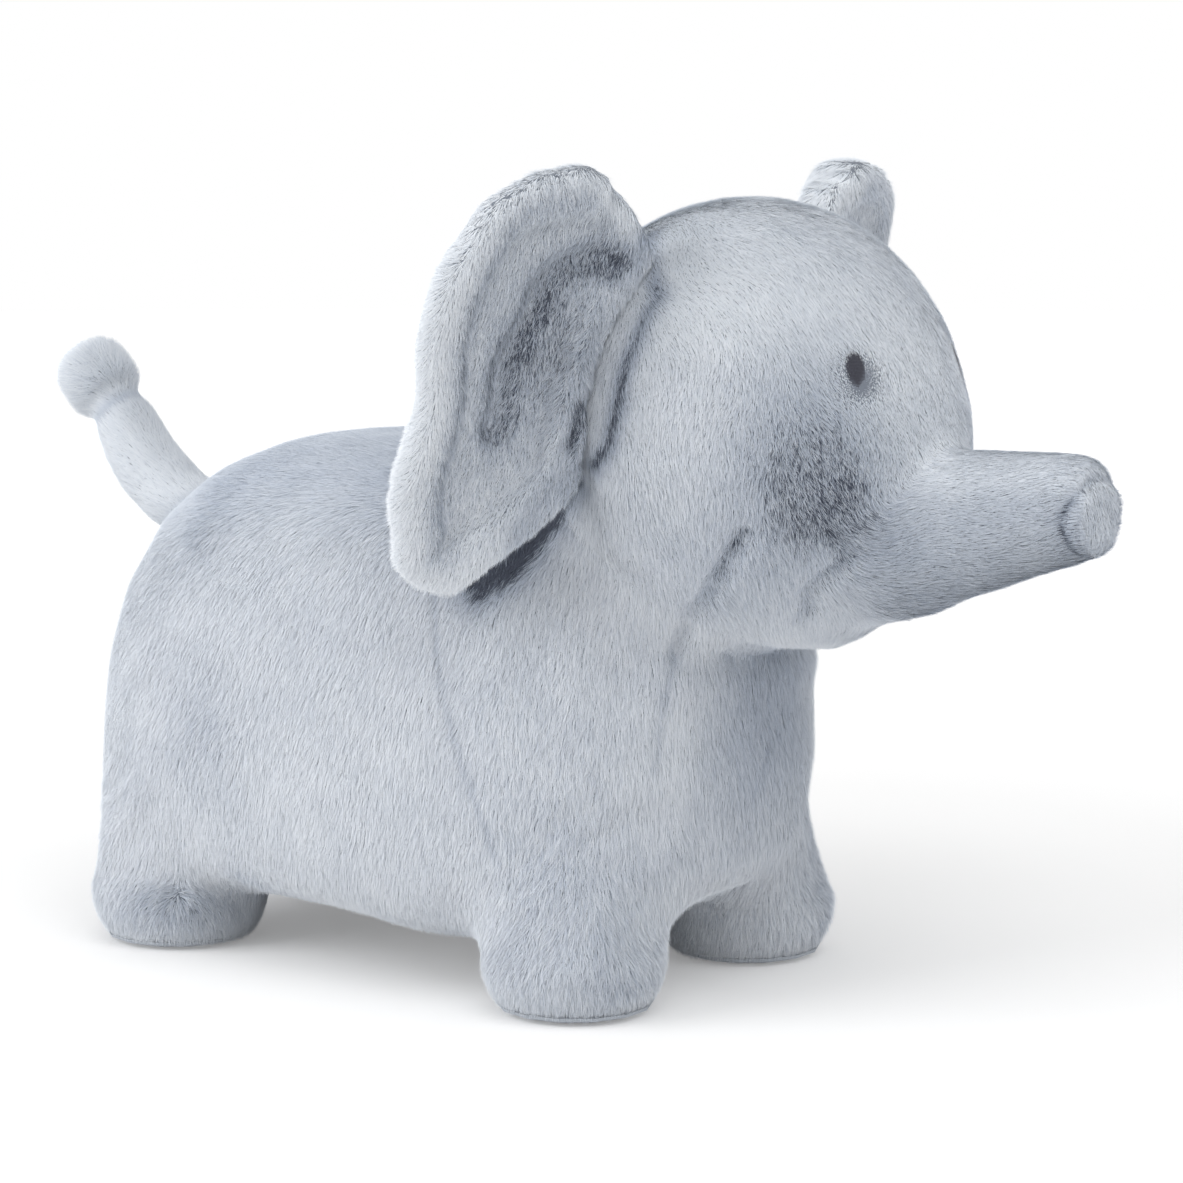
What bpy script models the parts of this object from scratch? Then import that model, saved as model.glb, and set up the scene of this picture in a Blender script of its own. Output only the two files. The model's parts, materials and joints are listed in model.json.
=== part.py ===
"""Plush hopper in the shape of an elephant, for a small child to sit on and bounce.

A fur-cloth cover is zipped round an air bladder whose four lobes fill the stub legs.
The stuffed head, with its trunk and two grab ears, and the stuffed tail are sewn to the cover.
Metres, +Z up, +X towards the trunk. The middle of the base ends up at the origin.
"""

import math

import bmesh
import bpy
from mathutils import Matrix, Vector

# Clearance between pieces, and thickness of the cloths
GAP = 0.0003
TURNING_GAP = 0.00045
LOBE_CLEARANCE = 0.0028
PAD_CLEARANCE = 0.0006
COVER_WALL = 0.005
BLADDER_WALL = 0.0018
EAR_WALL = 0.003
TAIL_WALL = 0.004
SOLE_THICKNESS = 0.004

# Body: a fat barrel that is fuller below its widest level
BODY_LENGTH = 0.392
BODY_WIDTH = 0.242
BODY_CENTRE_X = -0.014
BODY_WIDEST_Z = 0.086
BODY_TOP_Z = 0.264
BELLY_Z = 0.031
BODY_PLAN_POWER = 2.6
BODY_RUMP_UPPER_POWER = 2.5
BODY_CHEST_UPPER_POWER = 3.6
BODY_RUMP_LOWER_POWER = 5.0
BODY_CHEST_LOWER_POWER = 3.2
BODY_FRONT_X = BODY_CENTRE_X + BODY_LENGTH / 2
BODY_REAR_X = BODY_CENTRE_X - BODY_LENGTH / 2

# Legs: stub columns that swell at the foot and lean in to the body
LEG_FRONT_INSET = 0.060
LEG_REAR_INSET = 0.072
LEG_SIDE_INSET = 0.047
LEG_RADIUS = 0.0460
LEG_WIDEST_Z = 0.032
LEG_RISE = 0.070
LEG_DROP = 0.036
LEG_PLAN_POWER = 2.0
LEG_UPPER_POWER = 2.4
LEG_LOWER_POWER = 3.6
LEG_LEAN = 0.25

# Head: a ball that swells forward and down into the muzzle
HEAD_SETBACK = 0.010
HEAD_RISE = 0.020
HEAD_LENGTH_RADIUS = 0.100
HEAD_WIDTH_RADIUS = 0.101
HEAD_HEIGHT_RADIUS = 0.104
HEAD_CENTRE = Vector((BODY_FRONT_X - HEAD_SETBACK, 0.0, BODY_TOP_Z + HEAD_RISE))
HEAD_RADII = Vector((HEAD_LENGTH_RADIUS, HEAD_WIDTH_RADIUS, HEAD_HEIGHT_RADIUS))
MUZZLE_DROP = math.radians(29.5)
MUZZLE_SWELL = 0.14
MUZZLE_SPREAD = math.radians(40)

# Eyes: embroidered ovals, given by their direction from the middle of the head
EYE_WIDTH = 0.010
EYE_HEIGHT = 0.020
EYE_PROUD = 0.0018
EYE_AZIMUTH = math.radians(26.5)
EYE_ELEVATION = math.radians(15.0)

# Trunk: a tapered tube that turns in the muzzle on a ball-shaped root
TRUNK_ROOT_INSET = 0.014
TRUNK_ROOT_DROP = 0.0495
TRUNK_ROOT = HEAD_CENTRE + Vector((HEAD_LENGTH_RADIUS - TRUNK_ROOT_INSET, 0.0, -TRUNK_ROOT_DROP))
TRUNK_PITCH = math.radians(11)
TRUNK_BALL_RADIUS = 0.041
TRUNK_THICK_RADIUS = 0.0345
TRUNK_TIP_RADIUS = 0.0225
TRUNK_TUBE_LENGTH = 0.097
TRUNK_TIP_DEPTH = 0.009
TRUNK_RANGE = math.radians(10)

# Tail: a tapered tube with a ball-shaped root in the rump, and a fuller tuft
TAIL_ROOT_ELEVATION = math.radians(37.3)
TAIL_ROOT_DEPTH = 0.0043
TAIL_PITCH = math.radians(135)
TAIL_ROOT_RADIUS = 0.0185
TAIL_NECK_RADIUS = 0.0138
TAIL_BULGE = 0.0016
TAIL_BALL_TOP = math.radians(59.3)
TAIL_BALL_BACK = math.radians(95)
TAIL_LENGTH = 0.101
TAIL_RANGE = math.radians(18)
TUFT_RADIUS = 0.0190
TUFT_LENGTH = 0.035
TUFT_POWER = 3.6
TUFT_NECK_ANGLE = math.radians(140)

# Ears: twisted, dished pads, hinged along their sewn root
EAR_HEIGHT = 0.204
EAR_WIDTH = 0.122
EAR_THICKNESS = 0.022
EAR_CENTRE_Z = HEAD_CENTRE.z + 0.019
EAR_ROOT_X = HEAD_CENTRE.x - 0.007
EAR_ROOT_Y = HEAD_WIDTH_RADIUS - 0.021
EAR_MIDDLE_REACH = 0.052
EAR_SLANT = 0.18
EAR_TOP_FLARE = 0.25
EAR_RIM_POWER = 2.9
EAR_ROOT_POWER = 1.8
EAR_NOTCH_START = 0.15
EAR_NOTCH_END = 0.95
EAR_NOTCH_SHARE = 0.50
EAR_FULLNESS_POWER = 0.8
EAR_SWEEP = math.radians(30)
EAR_TWIST = math.radians(200)
EAR_DISH = 0.013
EAR_PANEL_SHARE = 0.80
EAR_HINGE_HEAD = HEAD_CENTRE + Vector((-0.007, HEAD_WIDTH_RADIUS - 0.035, 0.086))
EAR_HINGE_FOOT = HEAD_CENTRE + Vector((-0.012, HEAD_WIDTH_RADIUS + 0.001, -0.026))
EAR_BACKWARD = math.radians(12)
EAR_FORWARD = math.radians(20)

# Belly zipper
ZIP_LENGTH = 0.160
ZIP_SLOT_WIDTH = 0.016
ZIP_RISE = 0.0024
TAPE_THICKNESS = 0.0010
TOOTH_PITCH = 0.0060
TOOTH_LENGTH = 0.0032
TOOTH_REACH = 0.0021
TOOTH_HEIGHT = 0.0018
ZIP_CHANNEL = 0.0014
STOP_LENGTH = 0.004
SLIDER_LENGTH = 0.012
SLIDER_WIDTH = 0.008
SLIDER_PLATE = 0.0010
SLIDER_BRIDGE_LENGTH = 0.004
BAIL_RADIUS = 0.0032
BAIL_WIRE_RADIUS = 0.0007
PULL_LENGTH = 0.011
PULL_WIDTH = 0.006
PULL_THICKNESS = 0.0012

# Air valve, in a well in the bladder's belly
VALVE_X = -0.060
WELL_RADIUS = 0.016
WELL_DEPTH = 0.018
VALVE_FLANGE_RADIUS = 0.011
VALVE_FLANGE_THICKNESS = 0.0015
VALVE_TUBE_RADIUS = 0.006
VALVE_BORE_RADIUS = 0.004
VALVE_TUBE_LENGTH = 0.010
PLUG_CAP_RADIUS = 0.007
PLUG_CAP_THICKNESS = 0.0025
PLUG_CAP_BEVEL = 0.0010
STEM_TAPER = 0.0015

# Fineness of the meshes
BODY_DIVISIONS = 8
HEAD_DIVISIONS = 7
ROUND_SEGMENTS = 16
SOCKET_SEGMENTS = 32
LEG_SEGMENTS = 14
LEG_RINGS = 8
LOBE_SEGMENTS = 12
LOBE_RINGS = 6
EAR_SEGMENTS = 18
EAR_RINGS = 7
HEAD_ROOM_DIVISIONS = 12


def clear_scene():
    for old in list(bpy.data.objects):
        bpy.data.objects.remove(old, do_unlink=True)


def make_collection(name):
    collection = bpy.data.collections.new(name)
    bpy.context.scene.collection.children.link(collection)
    return collection


clear_scene()
PARTS = make_collection("hopper_elephant")
CUTTERS = make_collection("cutters")


def make_material(name, colour, roughness, metallic=0.0):
    material = bpy.data.materials.new(name)
    material.use_nodes = True
    shader = material.node_tree.nodes["Principled BSDF"]
    shader.inputs["Base Color"].default_value = (*colour, 1.0)
    shader.inputs["Roughness"].default_value = roughness
    shader.inputs["Metallic"].default_value = metallic
    material.diffuse_color = (*colour, 1.0)
    return material


FUR = make_material("plush_pile", (0.50, 0.56, 0.64), 0.95)
FUR_SHORT = make_material("short_pile", (0.38, 0.43, 0.50), 0.95)
SOLE_CLOTH = make_material("sole_cloth", (0.42, 0.46, 0.52), 0.9)
STUFFING = make_material("polyester_stuffing", (0.86, 0.86, 0.84), 1.0)
VINYL = make_material("bladder_vinyl", (0.55, 0.62, 0.70), 0.35)
THREAD = make_material("eye_thread", (0.05, 0.05, 0.075), 0.6)
TAPE = make_material("zipper_tape", (0.36, 0.41, 0.48), 0.8)
ZIP_METAL = make_material("zipper_metal", (0.62, 0.62, 0.60), 0.35, 1.0)
VALVE_PLASTIC = make_material("valve_plastic", (0.80, 0.82, 0.84), 0.4)


def make_empty(name, location=(0, 0, 0), parent=None):
    empty = bpy.data.objects.new(name, None)
    empty.empty_display_size = 0.02
    empty.parent = parent
    empty.location = Vector(location)
    PARTS.objects.link(empty)
    return empty


def place_in_world(empty):
    """World place of an empty, worked out from its chain of parents."""
    place = empty.matrix_basis.copy()
    while empty.parent:
        empty = empty.parent
        place = empty.matrix_basis @ place
    return place


# Every piece hangs from this one, which is moved at the end
BASE = make_empty("base")


def make_object(name, bm, material=None, parent=BASE, smooth=True):
    """Turn a world-space bmesh into a part, or into a cutter if it has no material."""
    bmesh.ops.recalc_face_normals(bm, faces=bm.faces)
    mesh = bpy.data.meshes.new(name)
    bm.to_mesh(mesh)
    bm.free()
    if smooth:
        mesh.shade_smooth()
        mesh.set_sharp_from_angle(angle=math.radians(40))
    mesh.transform(place_in_world(parent).inverted())
    piece = bpy.data.objects.new(name, mesh)
    piece.parent = parent
    if material:
        mesh.materials.append(material)
        PARTS.objects.link(piece)
    else:
        piece.hide_render = True
        piece.display_type = "WIRE"
        CUTTERS.objects.link(piece)
    return piece


def combine(piece, other, operation="DIFFERENCE"):
    modifier = piece.modifiers.new(operation.lower() + "_" + other.name, "BOOLEAN")
    modifier.operation = operation
    modifier.object = other
    modifier.solver = "EXACT"
    return piece


def cut_by(piece, *cutters):
    for cutter in cutters:
        combine(piece, cutter)
    return piece


def box_mesh(size, centre):
    bm = bmesh.new()
    bmesh.ops.create_cube(bm, size=1.0)
    bmesh.ops.scale(bm, vec=Vector(size), verts=bm.verts)
    bmesh.ops.translate(bm, vec=Vector(centre), verts=bm.verts)
    return bm


def rod_mesh(radius, low, high, x=0.0, y=0.0, segments=ROUND_SEGMENTS):
    """Upright cylinder from one level to another."""
    bm = bmesh.new()
    place = Matrix.Translation((x, y, (low + high) / 2))
    bmesh.ops.create_cone(bm, cap_ends=True, segments=segments, radius1=radius, radius2=radius,
                          depth=high - low, matrix=place)
    return bm


def ball_cage(divisions):
    """Unit ball made from a cube, with faces of nearly one size."""
    bm = bmesh.new()
    bmesh.ops.create_cube(bm, size=2.0)
    bmesh.ops.subdivide_edges(bm, edges=bm.edges, cuts=divisions - 1, use_grid_fill=True)
    for vert in bm.verts:
        evened = Vector([math.tan(value * math.pi / 4) for value in vert.co])
        vert.co = evened.normalized()
    return bm


def globe_cage(segments, rings):
    """Unit ball with its poles on the Z axis."""
    bm = bmesh.new()
    bmesh.ops.create_uvsphere(bm, u_segments=segments, v_segments=rings, radius=1.0)
    return bm


def shaped(cage, place):
    """Move each point of a unit cage to where the form has it.

    The faces are split the same way each time, so that nested forms keep one clearance.
    """
    bmesh.ops.triangulate(cage, faces=cage.faces, quad_method="FIXED")
    for vert in cage.verts:
        vert.co = place(vert.co.copy())
    return cage


def swelled(unit, plan_power, upper_power, lower_power):
    """Push a point of the unit ball out to a squarer ball, with its own power above and below."""
    power = upper_power if unit.z > 0 else lower_power
    plan = abs(unit.x) ** plan_power + abs(unit.y) ** plan_power
    size = plan ** (power / plan_power) + abs(unit.z) ** power
    return unit * size ** (-1.0 / power)


def body_point(unit, inset):
    """Where a direction meets the barrel body, its surface moved in by the inset."""
    chest_share = 0.5 + 0.5 * unit.x
    upper_power = BODY_RUMP_UPPER_POWER + (BODY_CHEST_UPPER_POWER - BODY_RUMP_UPPER_POWER) * chest_share
    lower_power = BODY_RUMP_LOWER_POWER + (BODY_CHEST_LOWER_POWER - BODY_RUMP_LOWER_POWER) * chest_share
    point = swelled(unit, BODY_PLAN_POWER, upper_power, lower_power)
    rise = BODY_TOP_Z - BODY_WIDEST_Z if point.z > 0 else BODY_WIDEST_Z - BELLY_Z
    return Vector((BODY_CENTRE_X + point.x * (BODY_LENGTH / 2 - inset),
                   point.y * (BODY_WIDTH / 2 - inset),
                   BODY_WIDEST_Z + point.z * (rise - inset)))


def body_form(inset):
    return shaped(ball_cage(BODY_DIVISIONS), lambda unit: body_point(unit, inset))


# The tail's hinge lies under the surface of the rump
TAIL_ROOT = body_point(Vector((-math.cos(TAIL_ROOT_ELEVATION), 0.0, math.sin(TAIL_ROOT_ELEVATION))),
                       TAIL_ROOT_DEPTH)


def leg_form(end, side, inset, segments=LEG_SEGMENTS, rings=LEG_RINGS):
    """One stub leg. end is 1 in front and -1 behind; side is 1 on the left and -1 on the right."""
    def place(unit):
        point = swelled(unit, LEG_PLAN_POWER, LEG_UPPER_POWER, LEG_LOWER_POWER)
        rise = LEG_RISE if point.z > 0 else LEG_DROP
        height = point.z * (rise - inset)
        lean = LEG_LEAN * max(height, 0.0)
        foot_x = BODY_FRONT_X - LEG_FRONT_INSET if end > 0 else BODY_REAR_X + LEG_REAR_INSET
        foot_y = side * (BODY_WIDTH / 2 - LEG_SIDE_INSET)
        return Vector((foot_x - end * lean / 2 + point.x * (LEG_RADIUS - inset),
                       foot_y - side * lean + point.y * (LEG_RADIUS - inset),
                       LEG_WIDEST_Z + height))
    return shaped(globe_cage(segments, rings), place)


def head_form(inset):
    """The head, with the muzzle as a smooth swelling."""
    muzzle = Vector((math.cos(MUZZLE_DROP), 0.0, -math.sin(MUZZLE_DROP)))

    def place(unit):
        swell = MUZZLE_SWELL * math.exp(-(unit.angle(muzzle) / MUZZLE_SPREAD) ** 2)
        return HEAD_CENTRE + Vector([unit[i] * (HEAD_RADII[i] * (1 + swell) - inset) for i in range(3)])
    return shaped(ball_cage(HEAD_DIVISIONS), place)


def eased(value, start, end):
    """0 before the start, 1 after the end, and a soft rise between."""
    share = min(max((value - start) / (end - start), 0.0), 1.0)
    return share * share * (3 - 2 * share)


def ear_place(side, unit, inset):
    """Where a point of the unit ball lies on an ear; the ball's Z runs through the ear's thickness."""
    radius = math.hypot(unit.x, unit.y)
    power = EAR_RIM_POWER if unit.x > 0 else EAR_ROOT_POWER
    squared = (abs(unit.x) ** power + abs(unit.y) ** power) ** (1 / power)
    spread = radius / squared if squared > 0 else 1.0
    level = unit.y * spread
    height = level * (EAR_HEIGHT / 2 - inset)
    half_width = EAR_WIDTH / 2 * (1 + EAR_TOP_FLARE * level)
    if unit.x < 0:
        half_width *= 1 - EAR_NOTCH_SHARE * eased(-level, EAR_NOTCH_START, EAR_NOTCH_END)
    reach = EAR_MIDDLE_REACH - EAR_SLANT * height + unit.x * spread * (half_width - inset)
    fullness = math.copysign(abs(unit.z) ** EAR_FULLNESS_POWER, unit.z)
    hollow = EAR_DISH * (1 - radius ** 2)
    depth = fullness * (EAR_THICKNESS / 2 - inset) - hollow
    sweep = EAR_SWEEP - EAR_TWIST * height
    return Vector((EAR_ROOT_X - reach * math.sin(sweep) + depth * math.cos(sweep),
                   side * (EAR_ROOT_Y + reach * math.cos(sweep) + depth * math.sin(sweep)),
                   EAR_CENTRE_Z + height))


def ear_form(side, inset):
    return shaped(globe_cage(EAR_SEGMENTS, EAR_RINGS), lambda unit: ear_place(side, unit, inset))


def ear_panel_column(side, clearance):
    """A column that stands out of the ear's front, as wide as the inner panel."""
    bm = bmesh.new()
    share = EAR_PANEL_SHARE - clearance / (EAR_WIDTH / 2)
    column_rise = 3.0
    half_step = Matrix.Rotation(math.pi / EAR_SEGMENTS, 4, "Z")
    bmesh.ops.create_cone(bm, cap_ends=True, cap_tris=True, segments=EAR_SEGMENTS, radius1=share,
                          radius2=share, depth=column_rise,
                          matrix=Matrix.Translation((0, 0, column_rise / 2)) @ half_step)
    return shaped(bm, lambda unit: ear_place(side, unit, 0.0))


def head_reach(direction, turn):
    """Distance from the head's middle to its cleared surface, when the head has been turned."""
    back = turn.inverted()
    radii = HEAD_RADII + Vector([TURNING_GAP] * 3)
    start = back @ HEAD_CENTRE - HEAD_CENTRE
    heading = back.to_3x3() @ direction
    start = Vector([start[i] / radii[i] for i in range(3)])
    heading = Vector([heading[i] / radii[i] for i in range(3)])
    square = heading.dot(heading)
    middle = start.dot(heading)
    return (math.sqrt(middle ** 2 - square * (start.dot(start) - 1)) - middle) / square


def head_room(turns):
    """All the space that the head takes, seen from an ear that swings."""
    def place(unit):
        return HEAD_CENTRE + unit * max(head_reach(unit, turn) for turn in turns)
    return shaped(ball_cage(HEAD_ROOM_DIVISIONS), place)


def turned(name, profile, origin, pitch, material=None, parent=BASE, steps=ROUND_SEGMENTS):
    """Spin a profile of (radius, height) points about an axis that leaves the origin at the pitch.

    The profile starts at the top and runs down the outer side.
    """
    bm = bmesh.new()
    verts = [bm.verts.new((radius, 0.0, height)) for radius, height in profile]
    closed = profile[0][0] > 0
    for first, second in zip(verts, verts[1:] + verts[:1] * closed):
        bm.edges.new((first, second))
    mesh = bpy.data.meshes.new(name)
    bm.to_mesh(mesh)
    bm.free()
    piece = bpy.data.objects.new(name, mesh)
    screw = piece.modifiers.new("turn", "SCREW")
    screw.steps = steps
    screw.render_steps = steps
    screw.use_merge_vertices = True
    screw.merge_threshold = 0.00001
    screw.use_smooth_shade = True
    piece.parent = parent
    tilt = Matrix.Rotation(math.pi / 2 - pitch, 4, "Y")
    piece.matrix_basis = place_in_world(parent).inverted() @ Matrix.Translation(origin) @ tilt
    if material:
        mesh.materials.append(material)
        PARTS.objects.link(piece)
    else:
        piece.hide_render = True
        piece.display_type = "WIRE"
        CUTTERS.objects.link(piece)
    return piece


def arc(radius, start, stop, steps, inset=0.0):
    """Points of a circle about the origin, from one angle off the axis to another."""
    angles = [start + (stop - start) * i / steps for i in range(steps + 1)]
    return [((radius - inset) * math.sin(angle), (radius - inset) * math.cos(angle)) for angle in angles]


def widened(outline, swing):
    """The outline of a tube, spread by the angle through which the tube swings about the origin."""
    wide = []
    for radius, height in outline:
        angle = math.atan2(radius, height) + swing
        reach = math.hypot(radius, height) + GAP
        wide.append((reach * math.sin(angle), reach * math.cos(angle)))
    return wide


def bell_socket(name, tube, swing, ball_radius, origin, pitch, steps):
    """A socket in which a faceted ball turns freely, with a mouth that its tube can swing in."""
    mouth = widened(tube, swing)
    radius = (ball_radius + GAP) / math.cos(math.pi / steps) ** 2
    edge = math.atan2(*mouth[-1])
    pocket = arc(radius, edge, math.pi, steps // 2 - 1)
    profile = [(0, mouth[0][1])] + mouth[:-1] + pocket[:-1] + [(0, -radius)]
    return turned(name, profile, origin, pitch, steps=steps)


# Body cover and the solids that cut its neighbours
body_clear = make_object("cut_body_clear", body_form(-GAP))
body_cavity = make_object("cut_body_cavity", body_form(COVER_WALL))
body_cover = make_object("body_cover", body_form(0.0), FUR)
cut_by(body_cover, body_cavity)

CORNERS = [(end, side) for end in (1, -1) for side in (1, -1)]


def corner_name(end, side):
    return ("front" if end > 0 else "rear") + ("_left" if side > 0 else "_right")


def slab(name, low, high):
    """A wide flat cutter between two levels."""
    width = BODY_LENGTH * 2
    return make_object(name, box_mesh((width, width, high - low), (0, 0, (low + high) / 2)))


DEEP = 0.05
below_ground = slab("cut_below_ground", -DEEP, 0.0)
below_leg = slab("cut_below_leg", -DEEP, SOLE_THICKNESS + GAP)
above_sole = slab("cut_above_sole", SOLE_THICKNESS, BODY_TOP_Z)

for end, side in CORNERS:
    where = corner_name(end, side)
    leg_cavity = make_object("cut_leg_cavity_" + where, leg_form(end, side, COVER_WALL))
    cut_by(body_cover, leg_cavity)
    leg_cover = make_object("leg_cover_" + where, leg_form(end, side, 0.0), FUR)
    cut_by(leg_cover, leg_cavity, body_clear, below_leg)
    sole = make_object("sole_" + where, leg_form(end, side, 0.0), SOLE_CLOTH)
    cut_by(sole, above_sole, below_ground)


# Air bladder: the body and four leg lobes in one skin
def bladder_skin(name, inset, floor, material=None):
    skin = make_object(name, body_form(inset), material)
    for end, side in CORNERS:
        lobe_name = name.replace("cut_", "") + "_" + corner_name(end, side)
        lobe = make_object("cut_lobe_" + lobe_name,
                           leg_form(end, side, inset + LOBE_CLEARANCE, LOBE_SEGMENTS, LOBE_RINGS))
        combine(skin, lobe, "UNION")
    return cut_by(skin, slab("cut_floor_" + name.replace("cut_", ""), -DEEP, floor))


BLADDER_INSET = COVER_WALL + GAP
BLADDER_FLOOR = SOLE_THICKNESS + GAP
BLADDER_BELLY_Z = BELLY_Z + BLADDER_INSET
WELL_TOP = BLADDER_BELLY_Z + WELL_DEPTH
WELL_ROOF = WELL_TOP + BLADDER_WALL

bladder = bladder_skin("bladder", BLADDER_INSET, BLADDER_FLOOR, VINYL)
bladder_air = bladder_skin("cut_air", BLADDER_INSET + BLADDER_WALL, BLADDER_FLOOR + BLADDER_WALL)
well_jacket = make_object("cut_well_jacket", rod_mesh(WELL_RADIUS + BLADDER_WALL, 0.0, WELL_ROOF, VALVE_X))
cut_by(bladder_air, well_jacket)


def tail_dent(name, clearance):
    """A ball about the tail's hinge, round which the tail's root can turn."""
    rings = ROUND_SEGMENTS // 2
    radius = (TAIL_ROOT_RADIUS + clearance) / math.cos(math.pi / ROUND_SEGMENTS) ** 2
    ball = shaped(globe_cage(ROUND_SEGMENTS, rings), lambda unit: TAIL_ROOT + unit * radius)
    return make_object(name, ball)


cut_by(bladder_air, tail_dent("cut_tail_jacket", GAP + BLADDER_WALL))
well = make_object("cut_well", rod_mesh(WELL_RADIUS, 0.0, WELL_TOP, VALVE_X))
valve_hole = make_object("cut_valve_hole",
                         rod_mesh(VALVE_TUBE_RADIUS + GAP, WELL_TOP - GAP, WELL_ROOF + GAP, VALVE_X))
cut_by(bladder, bladder_air, well, valve_hole, tail_dent("cut_tail_dent", GAP))

# Valve: flange under the well's roof, tube through it, plug from below
FLANGE_TOP = WELL_TOP - GAP
FLANGE_BOTTOM = FLANGE_TOP - VALVE_FLANGE_THICKNESS
TUBE_TOP = FLANGE_TOP + VALVE_TUBE_LENGTH
turned("valve_seat",
       [(VALVE_BORE_RADIUS, TUBE_TOP), (VALVE_TUBE_RADIUS, TUBE_TOP), (VALVE_TUBE_RADIUS, FLANGE_TOP),
        (VALVE_FLANGE_RADIUS, FLANGE_TOP), (VALVE_FLANGE_RADIUS, FLANGE_BOTTOM),
        (VALVE_BORE_RADIUS, FLANGE_BOTTOM)],
       Vector((VALVE_X, 0, 0)), math.pi / 2, VALVE_PLASTIC)

PLUG_SEAT = Vector((VALVE_X, 0, FLANGE_BOTTOM - GAP))
plug_axis = make_empty("valve_plug_axis", PLUG_SEAT, BASE)
STEM_RADIUS = VALVE_BORE_RADIUS - GAP
STEM_RISE = VALVE_TUBE_LENGTH
turned("valve_plug",
       [(0, STEM_RISE), (STEM_RADIUS - STEM_TAPER, STEM_RISE), (STEM_RADIUS, STEM_RISE - STEM_TAPER),
        (STEM_RADIUS, 0), (PLUG_CAP_RADIUS, 0), (PLUG_CAP_RADIUS, PLUG_CAP_BEVEL - PLUG_CAP_THICKNESS),
        (PLUG_CAP_RADIUS - PLUG_CAP_BEVEL, -PLUG_CAP_THICKNESS), (0, -PLUG_CAP_THICKNESS)],
       PLUG_SEAT, math.pi / 2, VALVE_PLASTIC, plug_axis)


# Belly zipper, in a slot of the cover
ZIP_Z = BELLY_Z + ZIP_RISE
ZIP_CENTRE_X = BODY_CENTRE_X
ZIP_FRONT_X = ZIP_CENTRE_X + ZIP_LENGTH / 2
ZIP_REAR_X = ZIP_CENTRE_X - ZIP_LENGTH / 2
slot = make_object("cut_zipper_slot", box_mesh((ZIP_LENGTH, ZIP_SLOT_WIDTH, COVER_WALL * 4),
                                               (ZIP_CENTRE_X, 0, BELLY_Z)))
cut_by(body_cover, slot)

TOOTH_TIP_Y = ZIP_CHANNEL / 2
TAPE_INNER_Y = TOOTH_TIP_Y + TOOTH_REACH / 2
TAPE_OUTER_Y = ZIP_SLOT_WIDTH / 2 - GAP
TAPE_LENGTH = ZIP_LENGTH - 2 * GAP
TOOTH_COUNT = int((ZIP_LENGTH - 3 * STOP_LENGTH) / TOOTH_PITCH)
TOOTH_ROW = (TOOTH_COUNT - 1) * TOOTH_PITCH

for side, name in ((1, "left"), (-1, "right")):
    tape_width = TAPE_OUTER_Y - TAPE_INNER_Y
    tape = make_object("zipper_tape_" + name,
                       box_mesh((TAPE_LENGTH, tape_width, TAPE_THICKNESS),
                                (ZIP_CENTRE_X, side * (TAPE_INNER_Y + tape_width / 2), ZIP_Z)),
                       TAPE, smooth=False)
    first_tooth = (ZIP_CENTRE_X - TOOTH_ROW / 2, side * (TOOTH_TIP_Y + TOOTH_REACH / 2), ZIP_Z)
    tooth = make_object("cut_teeth_" + name,
                        box_mesh((TOOTH_LENGTH, TOOTH_REACH, TOOTH_HEIGHT), first_tooth), smooth=False)
    row = tooth.modifiers.new("row", "ARRAY")
    row.count = TOOTH_COUNT
    row.use_relative_offset = False
    row.use_constant_offset = True
    row.constant_offset_displace = (TOOTH_PITCH, 0, 0)
    combine(tape, tooth, "UNION")

STOP_SIZE = (STOP_LENGTH, 2 * (TAPE_INNER_Y - GAP), TOOTH_HEIGHT)
FRONT_STOP_X = ZIP_FRONT_X - STOP_LENGTH / 2 - GAP
REAR_STOP_X = ZIP_REAR_X + STOP_LENGTH / 2 + GAP
make_object("zipper_front_stop", box_mesh(STOP_SIZE, (FRONT_STOP_X, 0, ZIP_Z)), ZIP_METAL, smooth=False)
make_object("zipper_rear_stop", box_mesh(STOP_SIZE, (REAR_STOP_X, 0, ZIP_Z)), ZIP_METAL, smooth=False)

# Slider: two plates and a thin bridge that runs between the rows of teeth
SLIDER_X = FRONT_STOP_X - STOP_LENGTH / 2 - SLIDER_LENGTH / 2 - GAP
PLATE_OFFSET = TOOTH_HEIGHT / 2 + GAP + SLIDER_PLATE / 2
SLIDER_BOTTOM = ZIP_Z - PLATE_OFFSET - SLIDER_PLATE / 2
slider_axis = make_empty("zipper_slider_axis", (SLIDER_X, 0, ZIP_Z), BASE)
PLATE_SIZE = (SLIDER_LENGTH, SLIDER_WIDTH, SLIDER_PLATE)
slider = make_object("zipper_slider", box_mesh(PLATE_SIZE, (SLIDER_X, 0, ZIP_Z - PLATE_OFFSET)),
                     ZIP_METAL, slider_axis)
inner_plate = make_object("cut_slider_inner_plate",
                          box_mesh(PLATE_SIZE, (SLIDER_X, 0, ZIP_Z + PLATE_OFFSET)),
                          None, slider_axis, False)
BRIDGE_SIZE = (SLIDER_BRIDGE_LENGTH, ZIP_CHANNEL - 2 * GAP, 2 * PLATE_OFFSET + SLIDER_PLATE / 2)
bridge = make_object("cut_slider_bridge", box_mesh(BRIDGE_SIZE, (SLIDER_X, 0, ZIP_Z)),
                     None, slider_axis, False)


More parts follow.
